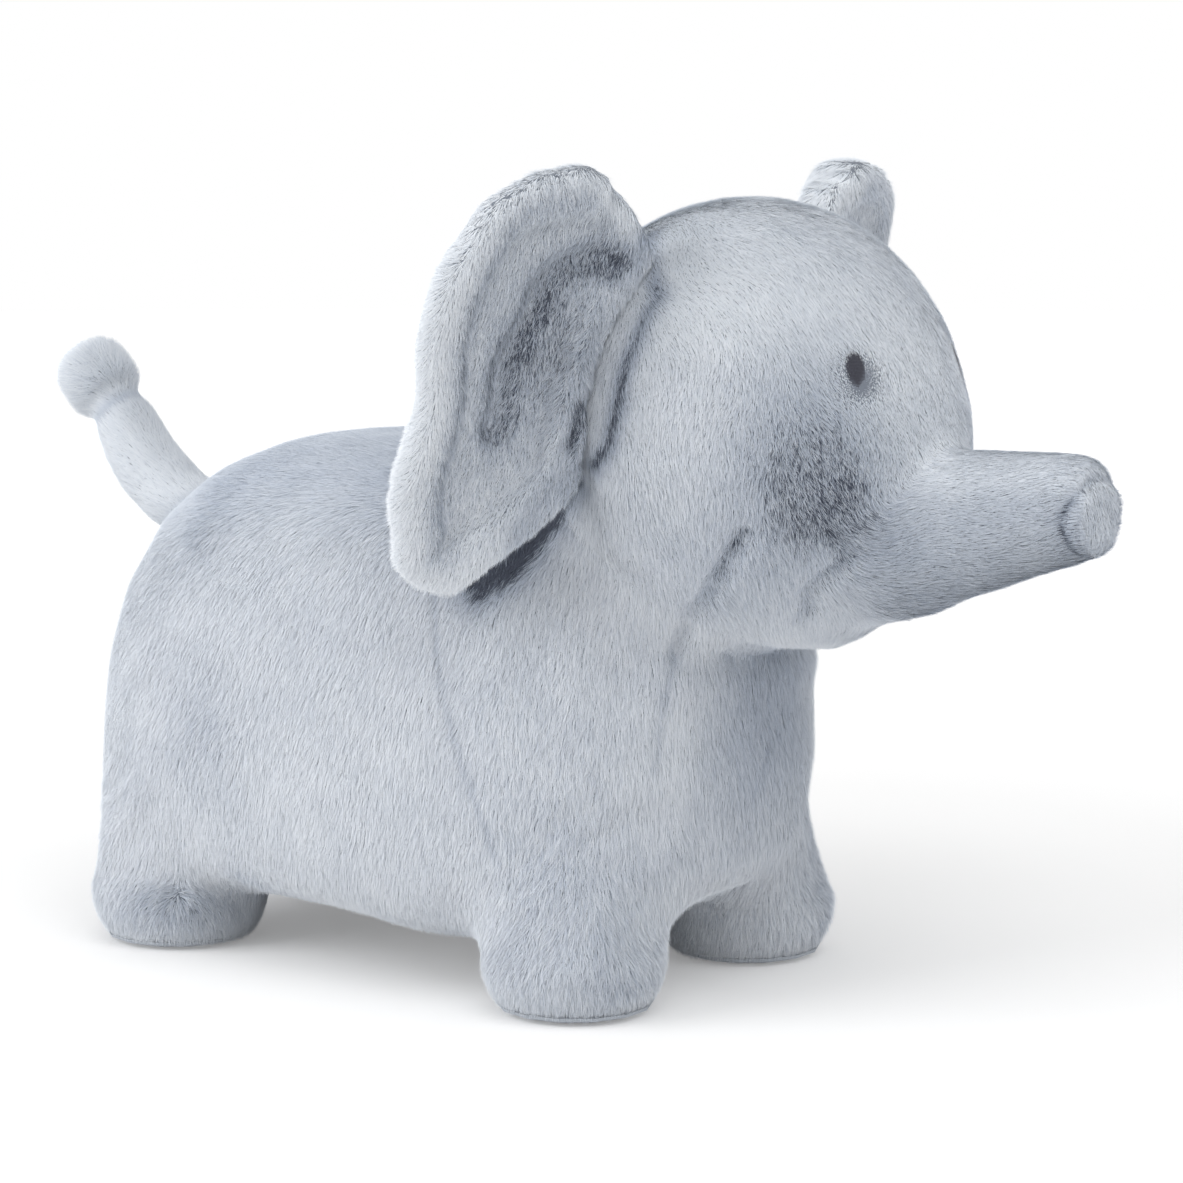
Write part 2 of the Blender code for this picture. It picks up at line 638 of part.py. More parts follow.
def bail_mesh():
    """The wire loop under the slider, that the pull hangs in."""
    loop = bmesh.new()
    rim_steps = 16
    wire_sides = 8
    circle = Matrix.Translation((BAIL_RADIUS, 0, 0)) @ Matrix.Rotation(math.pi / 2, 4, "X")
    bmesh.ops.create_circle(loop, cap_ends=False, segments=wire_sides, radius=BAIL_WIRE_RADIUS, matrix=circle)
    bmesh.ops.spin(loop, geom=loop.verts[:] + loop.edges[:], cent=(0, 0, 0), axis=(0, 0, 1),
                   angle=2 * math.pi, steps=rim_steps, use_merge=True)
    bmesh.ops.remove_doubles(loop, verts=loop.verts, dist=0.00001)
    bmesh.ops.transform(loop, matrix=Matrix.Translation((SLIDER_X, 0, SLIDER_BOTTOM)) @
                        Matrix.Rotation(math.pi / 2, 4, "X"), verts=loop.verts)
    return loop


bail = make_object("cut_slider_bail", bail_mesh(), None, slider_axis)
bail_trim = make_object("cut_bail_trim",
                        box_mesh((4 * BAIL_RADIUS, SLIDER_WIDTH, 2 * BAIL_RADIUS),
                                 (SLIDER_X, 0, SLIDER_BOTTOM + BAIL_RADIUS + SLIDER_PLATE / 2)),
                        None, slider_axis, False)
cut_by(bail, bail_trim)
combine(slider, inner_plate, "UNION")
combine(slider, bridge, "UNION")
combine(slider, bail, "UNION")

# Pull: a flat tab whose top bar lies in the bail
PULL_PIVOT = Vector((SLIDER_X, 0, SLIDER_BOTTOM - BAIL_RADIUS / 3))
BAR = PULL_THICKNESS / 2
WINDOW_DEPTH = BAIL_RADIUS + 2 * BAIL_WIRE_RADIUS
WINDOW_WIDTH = 2 * BAIL_WIRE_RADIUS + 6 * GAP
pull_axis = make_empty("zipper_pull_axis", PULL_PIVOT - Vector((SLIDER_X, 0, ZIP_Z)), slider_axis)
pull = make_object("zipper_pull",
                   box_mesh((PULL_THICKNESS, PULL_WIDTH, PULL_LENGTH),
                            PULL_PIVOT + Vector((0, 0, BAR - PULL_LENGTH / 2))), ZIP_METAL, pull_axis, False)
window = make_object("cut_pull_window",
                     box_mesh((PULL_THICKNESS * 2, WINDOW_WIDTH, WINDOW_DEPTH),
                              PULL_PIVOT - Vector((0, 0, BAR + WINDOW_DEPTH / 2))), None, pull_axis, False)
cut_by(pull, window)


# Head
head_cover = make_object("head_cover", head_form(0.0), FUR)
head_cavity = make_object("cut_head_cavity", head_form(COVER_WALL))
head_fill = make_object("head_fill", head_form(COVER_WALL + GAP), STUFFING)
cut_by(head_cover, head_cavity, body_clear)
cut_by(head_fill, body_clear)

# Eyes, cut to the head's surface
head_clear = make_object("cut_head_clear", head_form(-GAP))
head_proud = make_object("cut_head_proud", head_form(-EYE_PROUD))
for side, name in ((1, "left"), (-1, "right")):
    toward = Vector((math.cos(EYE_ELEVATION) * math.cos(EYE_AZIMUTH),
                     math.cos(EYE_ELEVATION) * math.sin(EYE_AZIMUTH) * side,
                     math.sin(EYE_ELEVATION)))
    middle = HEAD_CENTRE + toward * HEAD_RADII.x
    oval = bmesh.new()
    bmesh.ops.create_cone(oval, cap_ends=True, segments=ROUND_SEGMENTS, radius1=0.5, radius2=0.5,
                          depth=HEAD_RADII.x * 0.3)
    bmesh.ops.scale(oval, vec=Vector((EYE_HEIGHT, EYE_WIDTH, 1)), verts=oval.verts)
    turn = Matrix.Translation(middle) @ Matrix.Rotation(side * EYE_AZIMUTH, 4, "Z") @ \
        Matrix.Rotation(math.pi / 2 - EYE_ELEVATION, 4, "Y")
    bmesh.ops.transform(oval, matrix=turn, verts=oval.verts)
    eye = make_object("eye_" + name, oval, THREAD)
    combine(eye, head_proud, "INTERSECT")
    cut_by(eye, head_clear)


# Trunk
TRUNK_SHOULDER = math.asin(TRUNK_THICK_RADIUS / TRUNK_BALL_RADIUS)
TRUNK_BACK = math.radians(125)
TUBE_STEPS = 4


def trunk_outline(inset, top, back):
    """Tube and ball of the trunk, from the tip down to the back of the ball."""
    ball = arc(TRUNK_BALL_RADIUS, TRUNK_SHOULDER, back, 6, inset)
    start = ball[0][1]
    thin = TRUNK_TIP_RADIUS - inset
    thick = ball[0][0]
    tube = []
    for i in range(TUBE_STEPS):
        share = i / TUBE_STEPS
        tube.append((thin + (thick - thin) * share, top + (start - top) * share))
    return tube + ball


trunk_hinge = make_empty("trunk_hinge", TRUNK_ROOT, BASE)
trunk_outer = trunk_outline(0.0, TRUNK_TUBE_LENGTH, TRUNK_BACK)
trunk_inner = trunk_outline(COVER_WALL, TRUNK_TUBE_LENGTH, TRUNK_BACK)
turned("trunk_cover", trunk_outer + trunk_inner[::-1], TRUNK_ROOT, TRUNK_PITCH, FUR, trunk_hinge)

fill_outline = trunk_outline(COVER_WALL + GAP, TRUNK_TUBE_LENGTH - GAP, TRUNK_BACK)
fill_back = fill_outline[-1][1]
turned("trunk_fill", [(0, TRUNK_TUBE_LENGTH - GAP)] + fill_outline + [(0, fill_back)],
       TRUNK_ROOT, TRUNK_PITCH, STUFFING, trunk_hinge)

TIP_EDGE = 0.0035
TIP_FALL = 0.0019
TIP_ROUND = 0.0034
tip_low = TRUNK_TUBE_LENGTH + GAP
tip_high = TRUNK_TUBE_LENGTH + TRUNK_TIP_DEPTH
turned("trunk_tip",
       [(0, tip_high), (TRUNK_TIP_RADIUS - TIP_EDGE, tip_high - TIP_FALL),
        (TRUNK_TIP_RADIUS, tip_high - TIP_FALL - TIP_ROUND), (TRUNK_TIP_RADIUS, tip_low), (0, tip_low)],
       TRUNK_ROOT, TRUNK_PITCH, FUR_SHORT, trunk_hinge)


# Room in the head for the trunk: a close one in the cover, and a plainer one in the stuffing
trunk_tube = trunk_outer[:TUBE_STEPS + 1]
for piece, steps in ((head_cover, SOCKET_SEGMENTS), (head_fill, ROUND_SEGMENTS)):
    cut_by(piece, bell_socket("cut_trunk_room_" + piece.name, trunk_tube, TRUNK_RANGE, TRUNK_BALL_RADIUS,
                              TRUNK_ROOT, TRUNK_PITCH, steps))


# Ears
def ear_hinge(side):
    """Hinge empty on the ear's root line, with its Z axis along the line, downward on the left ear."""
    head_end = Vector((EAR_HINGE_HEAD.x, side * EAR_HINGE_HEAD.y, EAR_HINGE_HEAD.z))
    foot_end = Vector((EAR_HINGE_FOOT.x, side * EAR_HINGE_FOOT.y, EAR_HINGE_FOOT.z))
    axis = (head_end - foot_end).normalized() * -side
    hinge = make_empty("ear_hinge_" + ("left" if side > 0 else "right"), foot_end, BASE)
    hinge.rotation_euler = axis.to_track_quat("Z", "Y").to_euler()
    return hinge


for side, name in ((1, "left"), (-1, "right")):
    hinge = ear_hinge(side)
    shell = make_object("ear_back_" + name, ear_form(side, 0.0), FUR, hinge)
    hollow = make_object("cut_ear_hollow_" + name, ear_form(side, EAR_WALL), None, hinge)
    mouth = make_object("cut_ear_mouth_" + name, ear_panel_column(side, 0.0), None, hinge)
    panel_area = make_object("cut_ear_panel_" + name, ear_panel_column(side, GAP), None, hinge)
    panel = make_object("ear_front_" + name, ear_form(side, 0.0), FUR_SHORT, hinge)
    pad = make_object("ear_fill_" + name, ear_form(side, EAR_WALL + PAD_CLEARANCE), STUFFING, hinge)
    cut_by(shell, hollow, mouth)
    combine(panel, panel_area, "INTERSECT")
    cut_by(panel, hollow)
    place = place_in_world(hinge)
    turns = [place @ Matrix.Rotation(angle, 4, "Z") @ place.inverted()
             for angle in (0.0, EAR_BACKWARD, -EAR_FORWARD)]
    head_space = make_object("cut_head_room_" + name, head_room(turns), None, hinge)
    for piece in (shell, panel, pad):
        cut_by(piece, head_space)


# Tail
def tail_outline(inset, top):
    ball = arc(TAIL_ROOT_RADIUS, TAIL_BALL_TOP, TAIL_BALL_BACK, 3, inset)
    thick, start = ball[0]
    thin = TAIL_NECK_RADIUS - inset
    tube = []
    for i in range(TUBE_STEPS):
        share = i / TUBE_STEPS
        bulge = TAIL_BULGE * math.sin(math.pi * share)
        tube.append((thin + (thick - thin) * share + bulge, top + (start - top) * share))
    return tube + ball


tail_hinge = make_empty("tail_hinge", TAIL_ROOT, BASE)
tail_outer = tail_outline(0.0, TAIL_LENGTH)
tail_inner = tail_outline(TAIL_WALL, TAIL_LENGTH)
turned("tail_cover", tail_outer + tail_inner[::-1], TAIL_ROOT, TAIL_PITCH, FUR, tail_hinge)
tail_stuffing = tail_outline(TAIL_WALL + GAP, TAIL_LENGTH - GAP)
turned("tail_fill", [(0, TAIL_LENGTH - GAP)] + tail_stuffing + [(0, tail_stuffing[-1][1])],
       TAIL_ROOT, TAIL_PITCH, STUFFING, tail_hinge)

TUFT_STEPS = 9
tuft_base = TAIL_LENGTH + GAP
tuft_profile = []
for i in range(TUFT_STEPS):
    angle = TUFT_NECK_ANGLE * i / (TUFT_STEPS - 1)
    squared = (abs(math.sin(angle)) ** TUFT_POWER + abs(math.cos(angle)) ** TUFT_POWER) ** (-1 / TUFT_POWER)
    tuft_profile.append((TUFT_RADIUS * math.sin(angle) * squared,
                         tuft_base + TUFT_LENGTH * (0.5 + 0.5 * math.cos(angle) * squared)))
tuft_profile += [(TAIL_NECK_RADIUS, tuft_base), (0, tuft_base)]
turned("tail_tuft", tuft_profile, TAIL_ROOT, TAIL_PITCH, FUR, tail_hinge)

# Room in the cover for the tail
tail_tube = tail_outer[:TUBE_STEPS + 1]
cut_by(body_cover, bell_socket("cut_tail_room", tail_tube, TAIL_RANGE, TAIL_ROOT_RADIUS,
                               TAIL_ROOT, TAIL_PITCH, ROUND_SEGMENTS))


def reach_in_x(pieces):
    """Lowest and highest X of the finished pieces."""
    bpy.context.view_layer.update()
    graph = bpy.context.evaluated_depsgraph_get()
    values = []
    for piece in pieces:
        done = piece.evaluated_get(graph)
        mesh = done.to_mesh()
        values += [(done.matrix_world @ vert.co).x for vert in mesh.vertices]
        done.to_mesh_clear()
    return min(values), max(values)


# Put the middle of the base at the origin
low_x, high_x = reach_in_x([piece for piece in PARTS.objects if piece.type == "MESH"])
BASE.location.x = -(low_x + high_x) / 2
bpy.context.view_layer.update()
for empty in PARTS.objects:
    if empty.type == "EMPTY":
        axis = empty.matrix_world.to_3x3() @ Vector((0, 0, 1))
        print(empty.name, [round(v, 5) for v in empty.matrix_world.translation], [round(v, 5) for v in axis])
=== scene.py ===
# %% [markdown]
# # A plush hopper in the shape of an elephant
#
# The toy is an air bladder inside a zipped cover of faux fur, with a stuffed head, ears, trunk and
# tail sewn to it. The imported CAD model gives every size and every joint. This script dresses it: one
# smooth skin for each sewn form, then a pile of real hairs on each skin, so that the light catches
# the fur as it does on the real cloth. All lengths are in metres, with +X towards the trunk.

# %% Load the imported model
import json
import math

import bpy
import numpy as np
from mathutils import Matrix, Vector, kdtree, noise

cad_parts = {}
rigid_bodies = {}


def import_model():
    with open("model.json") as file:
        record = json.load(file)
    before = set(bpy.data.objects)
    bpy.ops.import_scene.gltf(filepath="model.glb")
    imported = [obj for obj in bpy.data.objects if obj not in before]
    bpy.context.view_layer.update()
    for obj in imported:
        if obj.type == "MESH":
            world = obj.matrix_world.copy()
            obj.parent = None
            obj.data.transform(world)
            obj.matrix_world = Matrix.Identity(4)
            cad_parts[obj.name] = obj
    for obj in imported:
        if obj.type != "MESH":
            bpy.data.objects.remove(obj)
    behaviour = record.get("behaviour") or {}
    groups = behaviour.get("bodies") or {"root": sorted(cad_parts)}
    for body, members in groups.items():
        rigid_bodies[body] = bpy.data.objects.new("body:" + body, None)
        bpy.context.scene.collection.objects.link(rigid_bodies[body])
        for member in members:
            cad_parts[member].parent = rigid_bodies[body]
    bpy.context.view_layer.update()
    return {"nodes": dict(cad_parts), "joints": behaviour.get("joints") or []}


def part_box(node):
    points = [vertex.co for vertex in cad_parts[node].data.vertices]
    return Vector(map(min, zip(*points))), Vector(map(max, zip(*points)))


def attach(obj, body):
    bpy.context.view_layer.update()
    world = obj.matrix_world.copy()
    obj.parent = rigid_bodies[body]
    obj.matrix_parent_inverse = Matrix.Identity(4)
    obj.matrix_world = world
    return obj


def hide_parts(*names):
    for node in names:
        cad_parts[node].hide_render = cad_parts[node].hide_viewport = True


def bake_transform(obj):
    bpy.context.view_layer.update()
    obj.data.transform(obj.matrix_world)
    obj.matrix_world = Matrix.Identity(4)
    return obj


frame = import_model()

# %% [markdown]
# ## Camera, light and floor
#
# The photo was taken with a long lens, from the animal's right and a little in front, slightly above
# it. The floor and the world are white to the camera, as a cut-out photo has them, while the object
# is lit by a plain soft world, one large lamp from the left, one above and a weak one in front.

# %% Camera at the photo's angle
CAMERA_AZIMUTH = math.radians(38.5)
CAMERA_DISTANCE = 1.8
CAMERA_HEIGHT = 0.430
CAMERA_SIDE = 0.062
AIM_HEIGHT = 0.185
FRAME_WIDTH_PX, FOCAL_PX = 1183, 3529
SENSOR_MM = 36
LENS_MM = FOCAL_PX / FRAME_WIDTH_PX * SENSOR_MM
BEHIND_TIP = 0.3636

photo_centre_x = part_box("trunk_tip")[1].x - BEHIND_TIP
across = Vector((math.cos(CAMERA_AZIMUTH), math.sin(CAMERA_AZIMUTH), 0))
stand = Vector((photo_centre_x, 0, 0))
aim = stand + across * CAMERA_SIDE + Vector((0, 0, AIM_HEIGHT))
eye_point = stand + Vector((math.sin(CAMERA_AZIMUTH) * CAMERA_DISTANCE,
                            -math.cos(CAMERA_AZIMUTH) * CAMERA_DISTANCE, CAMERA_HEIGHT))
camera_turn = (aim - eye_point).to_track_quat("-Z", "Y").to_euler()
bpy.ops.object.camera_add(location=eye_point, rotation=camera_turn)
camera = bpy.context.object
camera.data.lens = LENS_MM
camera.data.sensor_width = SENSOR_MM
camera.data.clip_start = 0.01
bpy.context.scene.camera = camera
print("camera at", [round(value, 3) for value in camera.location], "lens", round(LENS_MM, 1))


# %% [markdown]
# ## Shader arithmetic
#
# A finish is easier to read as a formula than as a chain of nodes. `Wire` wraps one socket, and its
# operators add the Math nodes. Every other node comes from `add_node`, which first makes the node's
# settings and then fills its sockets. It serves the hair scatter too.

# %% A socket that can be used in a formula
def plug(tree, socket, value):
    """Feed a socket from another one, or give it a fixed value."""
    if isinstance(value, Wire):
        tree.links.new(value.socket, socket)
    else:
        socket.default_value = value


def add_node(tree, kind, settings=None, inputs=None, output=0):
    """Add a node with its settings and the values or links of its sockets."""
    node = tree.nodes.new(kind)
    for key, value in (settings or {}).items():
        if key == "stops":
            while len(node.color_ramp.elements) < len(value):
                node.color_ramp.elements.new(0.5)
            for stop, (place, colour) in zip(node.color_ramp.elements, value):
                stop.position = place
                stop.color = (*colour, 1.0)
        else:
            setattr(node, key, value)
    for key, value in (inputs or {}).items():
        plug(tree, node.inputs[key], value)
    return Wire(tree, node.outputs[output])


class Wire:
    """One output socket of a node tree, ready for arithmetic."""

    def __init__(self, tree, socket):
        self.tree = tree
        self.socket = socket

    def math(self, operation, *values):
        return add_node(self.tree, "ShaderNodeMath", {"operation": operation}, dict(enumerate(values)))

    def __add__(self, other):
        return self.math("ADD", self, other)

    def __radd__(self, other):
        return self.math("ADD", other, self)

    def __sub__(self, other):
        return self.math("SUBTRACT", self, other)

    def __rsub__(self, other):
        return self.math("SUBTRACT", other, self)

    def __mul__(self, other):
        return self.math("MULTIPLY", self, other)

    def __rmul__(self, other):
        return self.math("MULTIPLY", other, self)


# %% A finish, ready to be filled in
class Finish:
    """A material with its shader, and short ways to the nodes that the finishes share."""

    def __init__(self, name, **fixed):
        self.material = bpy.data.materials.new(name)
        self.material.use_nodes = True
        self.tree = self.material.node_tree
        self.shader = self.tree.nodes["Principled BSDF"]
        for key, value in fixed.items():
            self.shader.inputs[key.replace("_", " ")].default_value = value

    def node(self, kind, settings=None, inputs=None, output=0):
        return add_node(self.tree, kind, settings, inputs, output)

    def place(self):
        return self.node("ShaderNodeTexCoord", output=3)

    def mix(self, share, first, second):
        first, second = [(*c, 1.0) if isinstance(c, tuple) and len(c) == 3 else c for c in (first, second)]
        return self.node("ShaderNodeMix", {"data_type": "RGBA"}, {0: share, 6: first, 7: second}, 2)

    def speckle(self, scale, detail=3.0, place=None):
        return self.node("ShaderNodeTexNoise", None,
                         {"Vector": place or self.place(), "Scale": scale, "Detail": detail})

    def bump(self, height, strength, distance):
        return self.node("ShaderNodeBump", None,
                         {"Height": height, "Strength": strength, "Distance": distance})

    def give(self, **links):
        for key, value in links.items():
            plug(self.tree, self.shader.inputs[key.replace("_", " ")], value)
        return self.material


print("shader helpers ready")


# %% White floor and world
WHITE_TO_CAMERA = 1.0
WORLD_LIGHT = 0.60
NEAR_LIFT, FAR_LIFT = 0.22, 0.60
NEAR_EDGE, FAR_EDGE = 0.5, 1.8


def seen_directly(tree):
    """1 where the camera, a reflection or glass looks at it, and 0 for the light that it gives."""
    kinds = [add_node(tree, "ShaderNodeLightPath", output=name)
             for name in ("Is Camera Ray", "Is Glossy Ray", "Is Transmission Ray")]
    return kinds[0].math("MAXIMUM", kinds[0], kinds[1].math("MAXIMUM", kinds[1], kinds[2]))


world = bpy.data.worlds.new("white_studio")
world.use_nodes = True
bpy.context.scene.world = world
sky = world.node_tree.nodes["Background"]
sky.inputs["Color"].default_value = (1, 1, 1, 1)
plug(world.node_tree, sky.inputs["Strength"],
     seen_directly(world.node_tree) * (WHITE_TO_CAMERA - WORLD_LIGHT) + WORLD_LIGHT)

bpy.ops.mesh.primitive_circle_add(vertices=96, radius=6.0, fill_type="NGON", location=(0, 0, -0.0005))
floor = bpy.context.object
floor.name = "studio_floor"
floor_finish = Finish("floor_paper", Roughness=1.0, Specular_IOR_Level=0.0, Emission_Color=(1, 1, 1, 1))
from_middle = floor_finish.node("ShaderNodeVectorMath", {"operation": "LENGTH"},
                                {0: floor_finish.place()}, "Value")
far_share = floor_finish.node("ShaderNodeMapRange", None,
                              {"Value": from_middle, "From Min": NEAR_EDGE, "From Max": FAR_EDGE})
lift = far_share * (FAR_LIFT - NEAR_LIFT) + NEAR_LIFT
floor.data.materials.append(floor_finish.give(Base_Color=(0.86, 0.86, 0.86, 1.0),
                                              Emission_Strength=seen_directly(floor_finish.tree) * lift))


# %% Three soft lamps
LAMP_DISTANCE = 2.2
TOY_MIDDLE = Vector((0, 0, 0.18))


def soft_lamp(name, direction, size, power):
    """A square lamp that looks at the middle of the toy."""
    spot = TOY_MIDDLE + Vector(direction).normalized() * LAMP_DISTANCE
    turn = (TOY_MIDDLE - spot).to_track_quat("-Z", "Y").to_euler()
    bpy.ops.object.light_add(type="AREA", location=spot, rotation=turn)
    lamp = bpy.context.object
    lamp.name = name
    lamp.data.size = size
    lamp.data.energy = power
    return lamp


soft_lamp("left_softbox", (-0.50, -0.82, 0.42), 1.5, 24)
soft_lamp("overhead_softbox", (0.5, -0.3, 1.0), 1.8, 15)
soft_lamp("front_softbox", (1.0, 0.15, 0.30), 1.5, 6)
bpy.context.scene.view_settings.view_transform = "Standard"
print("three lamps, white floor and world")


# %% [markdown]
# ## From CAD solids to skins
#
# The CAD covers are faceted shells with small gaps between them. A sewn skin has none: it runs over
# the legs, the belly, the neck and the trunk in one soft form. So copies of the shells are joined,
# swollen until the gaps close, voxel remeshed into one even mesh, and smoothed. Of a hollow form only
# the outermost wall is kept. Shrinkwrap onto the shells was the other way, and it bridges between the
# legs. The CAD's sizes include the pile, so the skin is then sunk below them by the pile's height.

# %% Select, apply and copy
def only(*pieces):
    """Select these pieces and nothing else, and make the first one active."""
    bpy.ops.object.select_all(action="DESELECT")
    for piece in pieces:
        piece.select_set(True)
    bpy.context.view_layer.objects.active = pieces[0]


def modify(piece, kind, **settings):
    """Add a modifier with its settings, and apply it."""
    modifier = piece.modifiers.new(kind.lower(), kind)
    for key, value in settings.items():
        setattr(modifier, key, value)
    only(piece)
    bpy.ops.object.modifier_apply(modifier=modifier.name)


def copy_of(piece, name):
    """A copy with its own mesh."""
    only(piece)
    bpy.ops.object.duplicate()
    bpy.context.object.name = name
    return bpy.context.object


def joined_copy(name, *nodes):
    """One loose mesh made of copies of CAD nodes."""
    only(*[frame["nodes"][node] for node in nodes])
    bpy.ops.object.duplicate()
    bpy.context.view_layer.objects.active = bpy.context.selected_objects[0]
    if len(nodes) > 1:
        bpy.ops.object.join()
    piece = bpy.context.object
    bpy.ops.object.parent_clear(type="CLEAR_KEEP_TRANSFORM")
    for key in list(piece.keys()):
        del piece[key]
    piece.name = name
    piece.data.materials.clear()
    bpy.ops.object.mode_set(mode="EDIT")
    bpy.ops.mesh.select_all(action="SELECT")
    bpy.ops.mesh.remove_doubles(threshold=0.00001)
    bpy.ops.object.mode_set(mode="OBJECT")
    return piece


# %% Plugs that close a form before it is remeshed
def plug_with_ball(piece, centre, radius):
    """Fill a socket with a ball, so that the remesh closes over it."""
    bpy.ops.mesh.primitive_ico_sphere_add(subdivisions=4, radius=radius, location=centre)
    ball = bpy.context.object
    only(piece, ball)
    bpy.ops.object.join()


def plug_with_box(piece, low, high):
    """Fill a slot with a box."""
    low, high = Vector(low), Vector(high)
    bpy.ops.mesh.primitive_cube_add(size=1, location=(low + high) / 2, scale=high - low)
    box = bpy.context.object
    bpy.ops.object.transform_apply(location=False, rotation=False, scale=True)
    only(piece, box)
    bpy.ops.object.join()


# %% Places and normals as rows of numbers, and soft shares of them
def places_of(piece):
    places = np.empty(len(piece.data.vertices) * 3, np.float32)
    piece.data.vertices.foreach_get("co", places)
    return places.reshape(-1, 3).astype(float)


def put_places(piece, places):
    piece.data.vertices.foreach_set("co", places.astype(np.float32).ravel())
    piece.data.update()


def normals_of(piece):
    normals = np.empty(len(piece.data.vertices) * 3, np.float32)
    piece.data.vertex_normals.foreach_get("vector", normals)
    return normals.reshape(-1, 3).astype(float)


def step(values, low, high):
    """0 below low, 1 above high, and a soft rise between."""
    share = np.clip((values - low) / (high - low), 0, 1)
    return share * share * (3 - 2 * share)


def fall(values, low, high):
    """1 below low, 0 above high, and a soft fall between."""
    return step(-values, -high, -low)


def bell(values, middle, width):
    """1 at the middle, falling to 0 on both sides over the width."""
    return np.exp(-((values - middle) / width) ** 2)


def ball(places, centre, radii):
    """1 at the centre, falling to 0 all round over the radii."""
    return np.exp(-np.linalg.norm((places - centre) / radii, axis=1) ** 2)


def choose(piece, chosen):
    """Open a piece in edit mode with these vertices selected."""
    only(piece)
    bpy.ops.object.mode_set(mode="EDIT")
    bpy.ops.mesh.select_mode(type="VERT")
    bpy.ops.mesh.select_all(action="DESELECT")
    bpy.ops.object.mode_set(mode="OBJECT")
    piece.data.vertices.foreach_set("select", chosen)
    bpy.ops.object.mode_set(mode="EDIT")


# %% One even skin
def keep_outermost_wall(piece):
    """Delete what isn't joined to the vertex that lies furthest out."""
    side = places_of(piece)[:, 1]
    choose(piece, side == side.max())
    bpy.ops.mesh.select_linked()
    bpy.ops.mesh.select_all(action="INVERT")
    bpy.ops.mesh.delete(type="VERT")
    bpy.ops.object.mode_set(mode="OBJECT")


GAP_CLOSING = 0.0006


def sewn_skin(piece, voxel, smoothing):
    """Close the gaps, remesh and smooth away the facets."""
    modify(piece, "DISPLACE", strength=GAP_CLOSING, mid_level=0.0)
    modify(piece, "REMESH", mode="VOXEL", voxel_size=voxel)
    keep_outermost_wall(piece)
    modify(piece, "SMOOTH", factor=0.5, iterations=smoothing)
    bpy.ops.object.shade_smooth()
    print(piece.name, len(piece.data.vertices), "vertices")


def smooth_where(piece, share, iterations):
    """Smooth only part of a skin, where share is above 0."""
    group = piece.vertex_groups.new(name="soft")
    for level in range(1, 11):
        near = np.flatnonzero(np.round(share * 10) == level)
        group.add(near.tolist(), level / 10, "REPLACE")
    modify(piece, "SMOOTH", factor=0.5, iterations=iterations, vertex_group=group.name)
    piece.vertex_groups.clear()


def sink(piece, depth):
    """Move a skin in along its normals, by a depth for each vertex."""
    put_places(piece, places_of(piece) - normals_of(piece) * np.reshape(depth, (-1, 1)))


# %% Places that the CAD model gives
CORNERS = [f"{end}_{side}" for end in ("front", "rear") for side in ("left", "right")]
HEAD_HALF_LENGTH, HEAD_HALF_HEIGHT = 0.1030, 0.1040


def pivot_of(name):
    """The point that a joint turns about."""
    return next(Vector(joint["pos_m"]) for joint in frame["joints"] if joint["name"] == name)


trunk_root = pivot_of("trunk_nod")
tail_root = pivot_of("tail_wag")
tape_low, tape_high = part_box("zipper_tape_left")
head_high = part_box("head_cover")[1]
head_middle = np.array([head_high.x - HEAD_HALF_LENGTH, 0.0, head_high.z - HEAD_HALF_HEIGHT])
for label, root in (("trunk", trunk_root), ("tail", tail_root)):
    print(label, "root at", [round(value, 3) for value in root])

# %% The skin of the body, the head and the trunk in one
SKIN_VOXEL = 0.0042
TAIL_SOCKET, TRUNK_SOCKET = 0.0205, 0.0330
SLOT_HALF_WIDTH, SLOT_MARGIN = 0.012, 0.004

skin = joined_copy("whole_skin", "body_cover", *["leg_cover_" + corner for corner in CORNERS],
                   *["sole_" + corner for corner in CORNERS],
                   "head_cover", "head_fill", "trunk_cover", "trunk_fill", "trunk_tip")
plug_with_ball(skin, tail_root, TAIL_SOCKET)
plug_with_ball(skin, trunk_root, TRUNK_SOCKET)
plug_with_box(skin, (tape_low.x - SLOT_MARGIN, -SLOT_HALF_WIDTH, tape_low.z),
              (tape_high.x + SLOT_MARGIN, SLOT_HALF_WIDTH, tape_low.z + SLOT_MARGIN))
sewn_skin(skin, SKIN_VOXEL, 24)

# %% Soften the neck, the trunk's root, the hips and the breast
places = places_of(skin)
neck = bell(np.linalg.norm(places - head_middle, axis=1), 0.108, 0.030) * fall(places[:, 2], 0.235, 0.275)
smooth_where(skin, np.clip(neck * (0.2 + 1.2 * step(np.abs(places[:, 1]), 0.02, 0.06)), 0, 1), 160)
smooth_where(skin, bell(places_of(skin)[:, 0] - trunk_root.x, 0.004, 0.022), 40)
places = places_of(skin)
hip = fall(places[:, 2], 0.070, 0.110) * step(places[:, 2], 0.028, 0.045)
smooth_where(skin, hip * step(np.abs(places[:, 1]), 0.06, 0.08), 90)
places = places_of(skin)
between_legs = fall(places[:, 2], 0.085, 0.115) * step(places[:, 2], 0.030, 0.045)
smooth_where(skin, step(places[:, 0], 0.080, 0.105) * between_legs, 160)
print("neck, trunk root, hips and breast softened")

# %% Give the smoothed skin its size back, and let the belly and the trunk's tip reach as far as the pile
FOOT_SINK, BODY_SWELL = 0.0012, 0.0028
BELLY_SAG = 0.006
TIP_REACH = 0.0025
CHIN, CHIN_RADII = (0.188, 0, 0.182), (0.024, 0.060, 0.020)
CHIN_DROP, CHIN_FORWARD = 0.0055, 0.0030

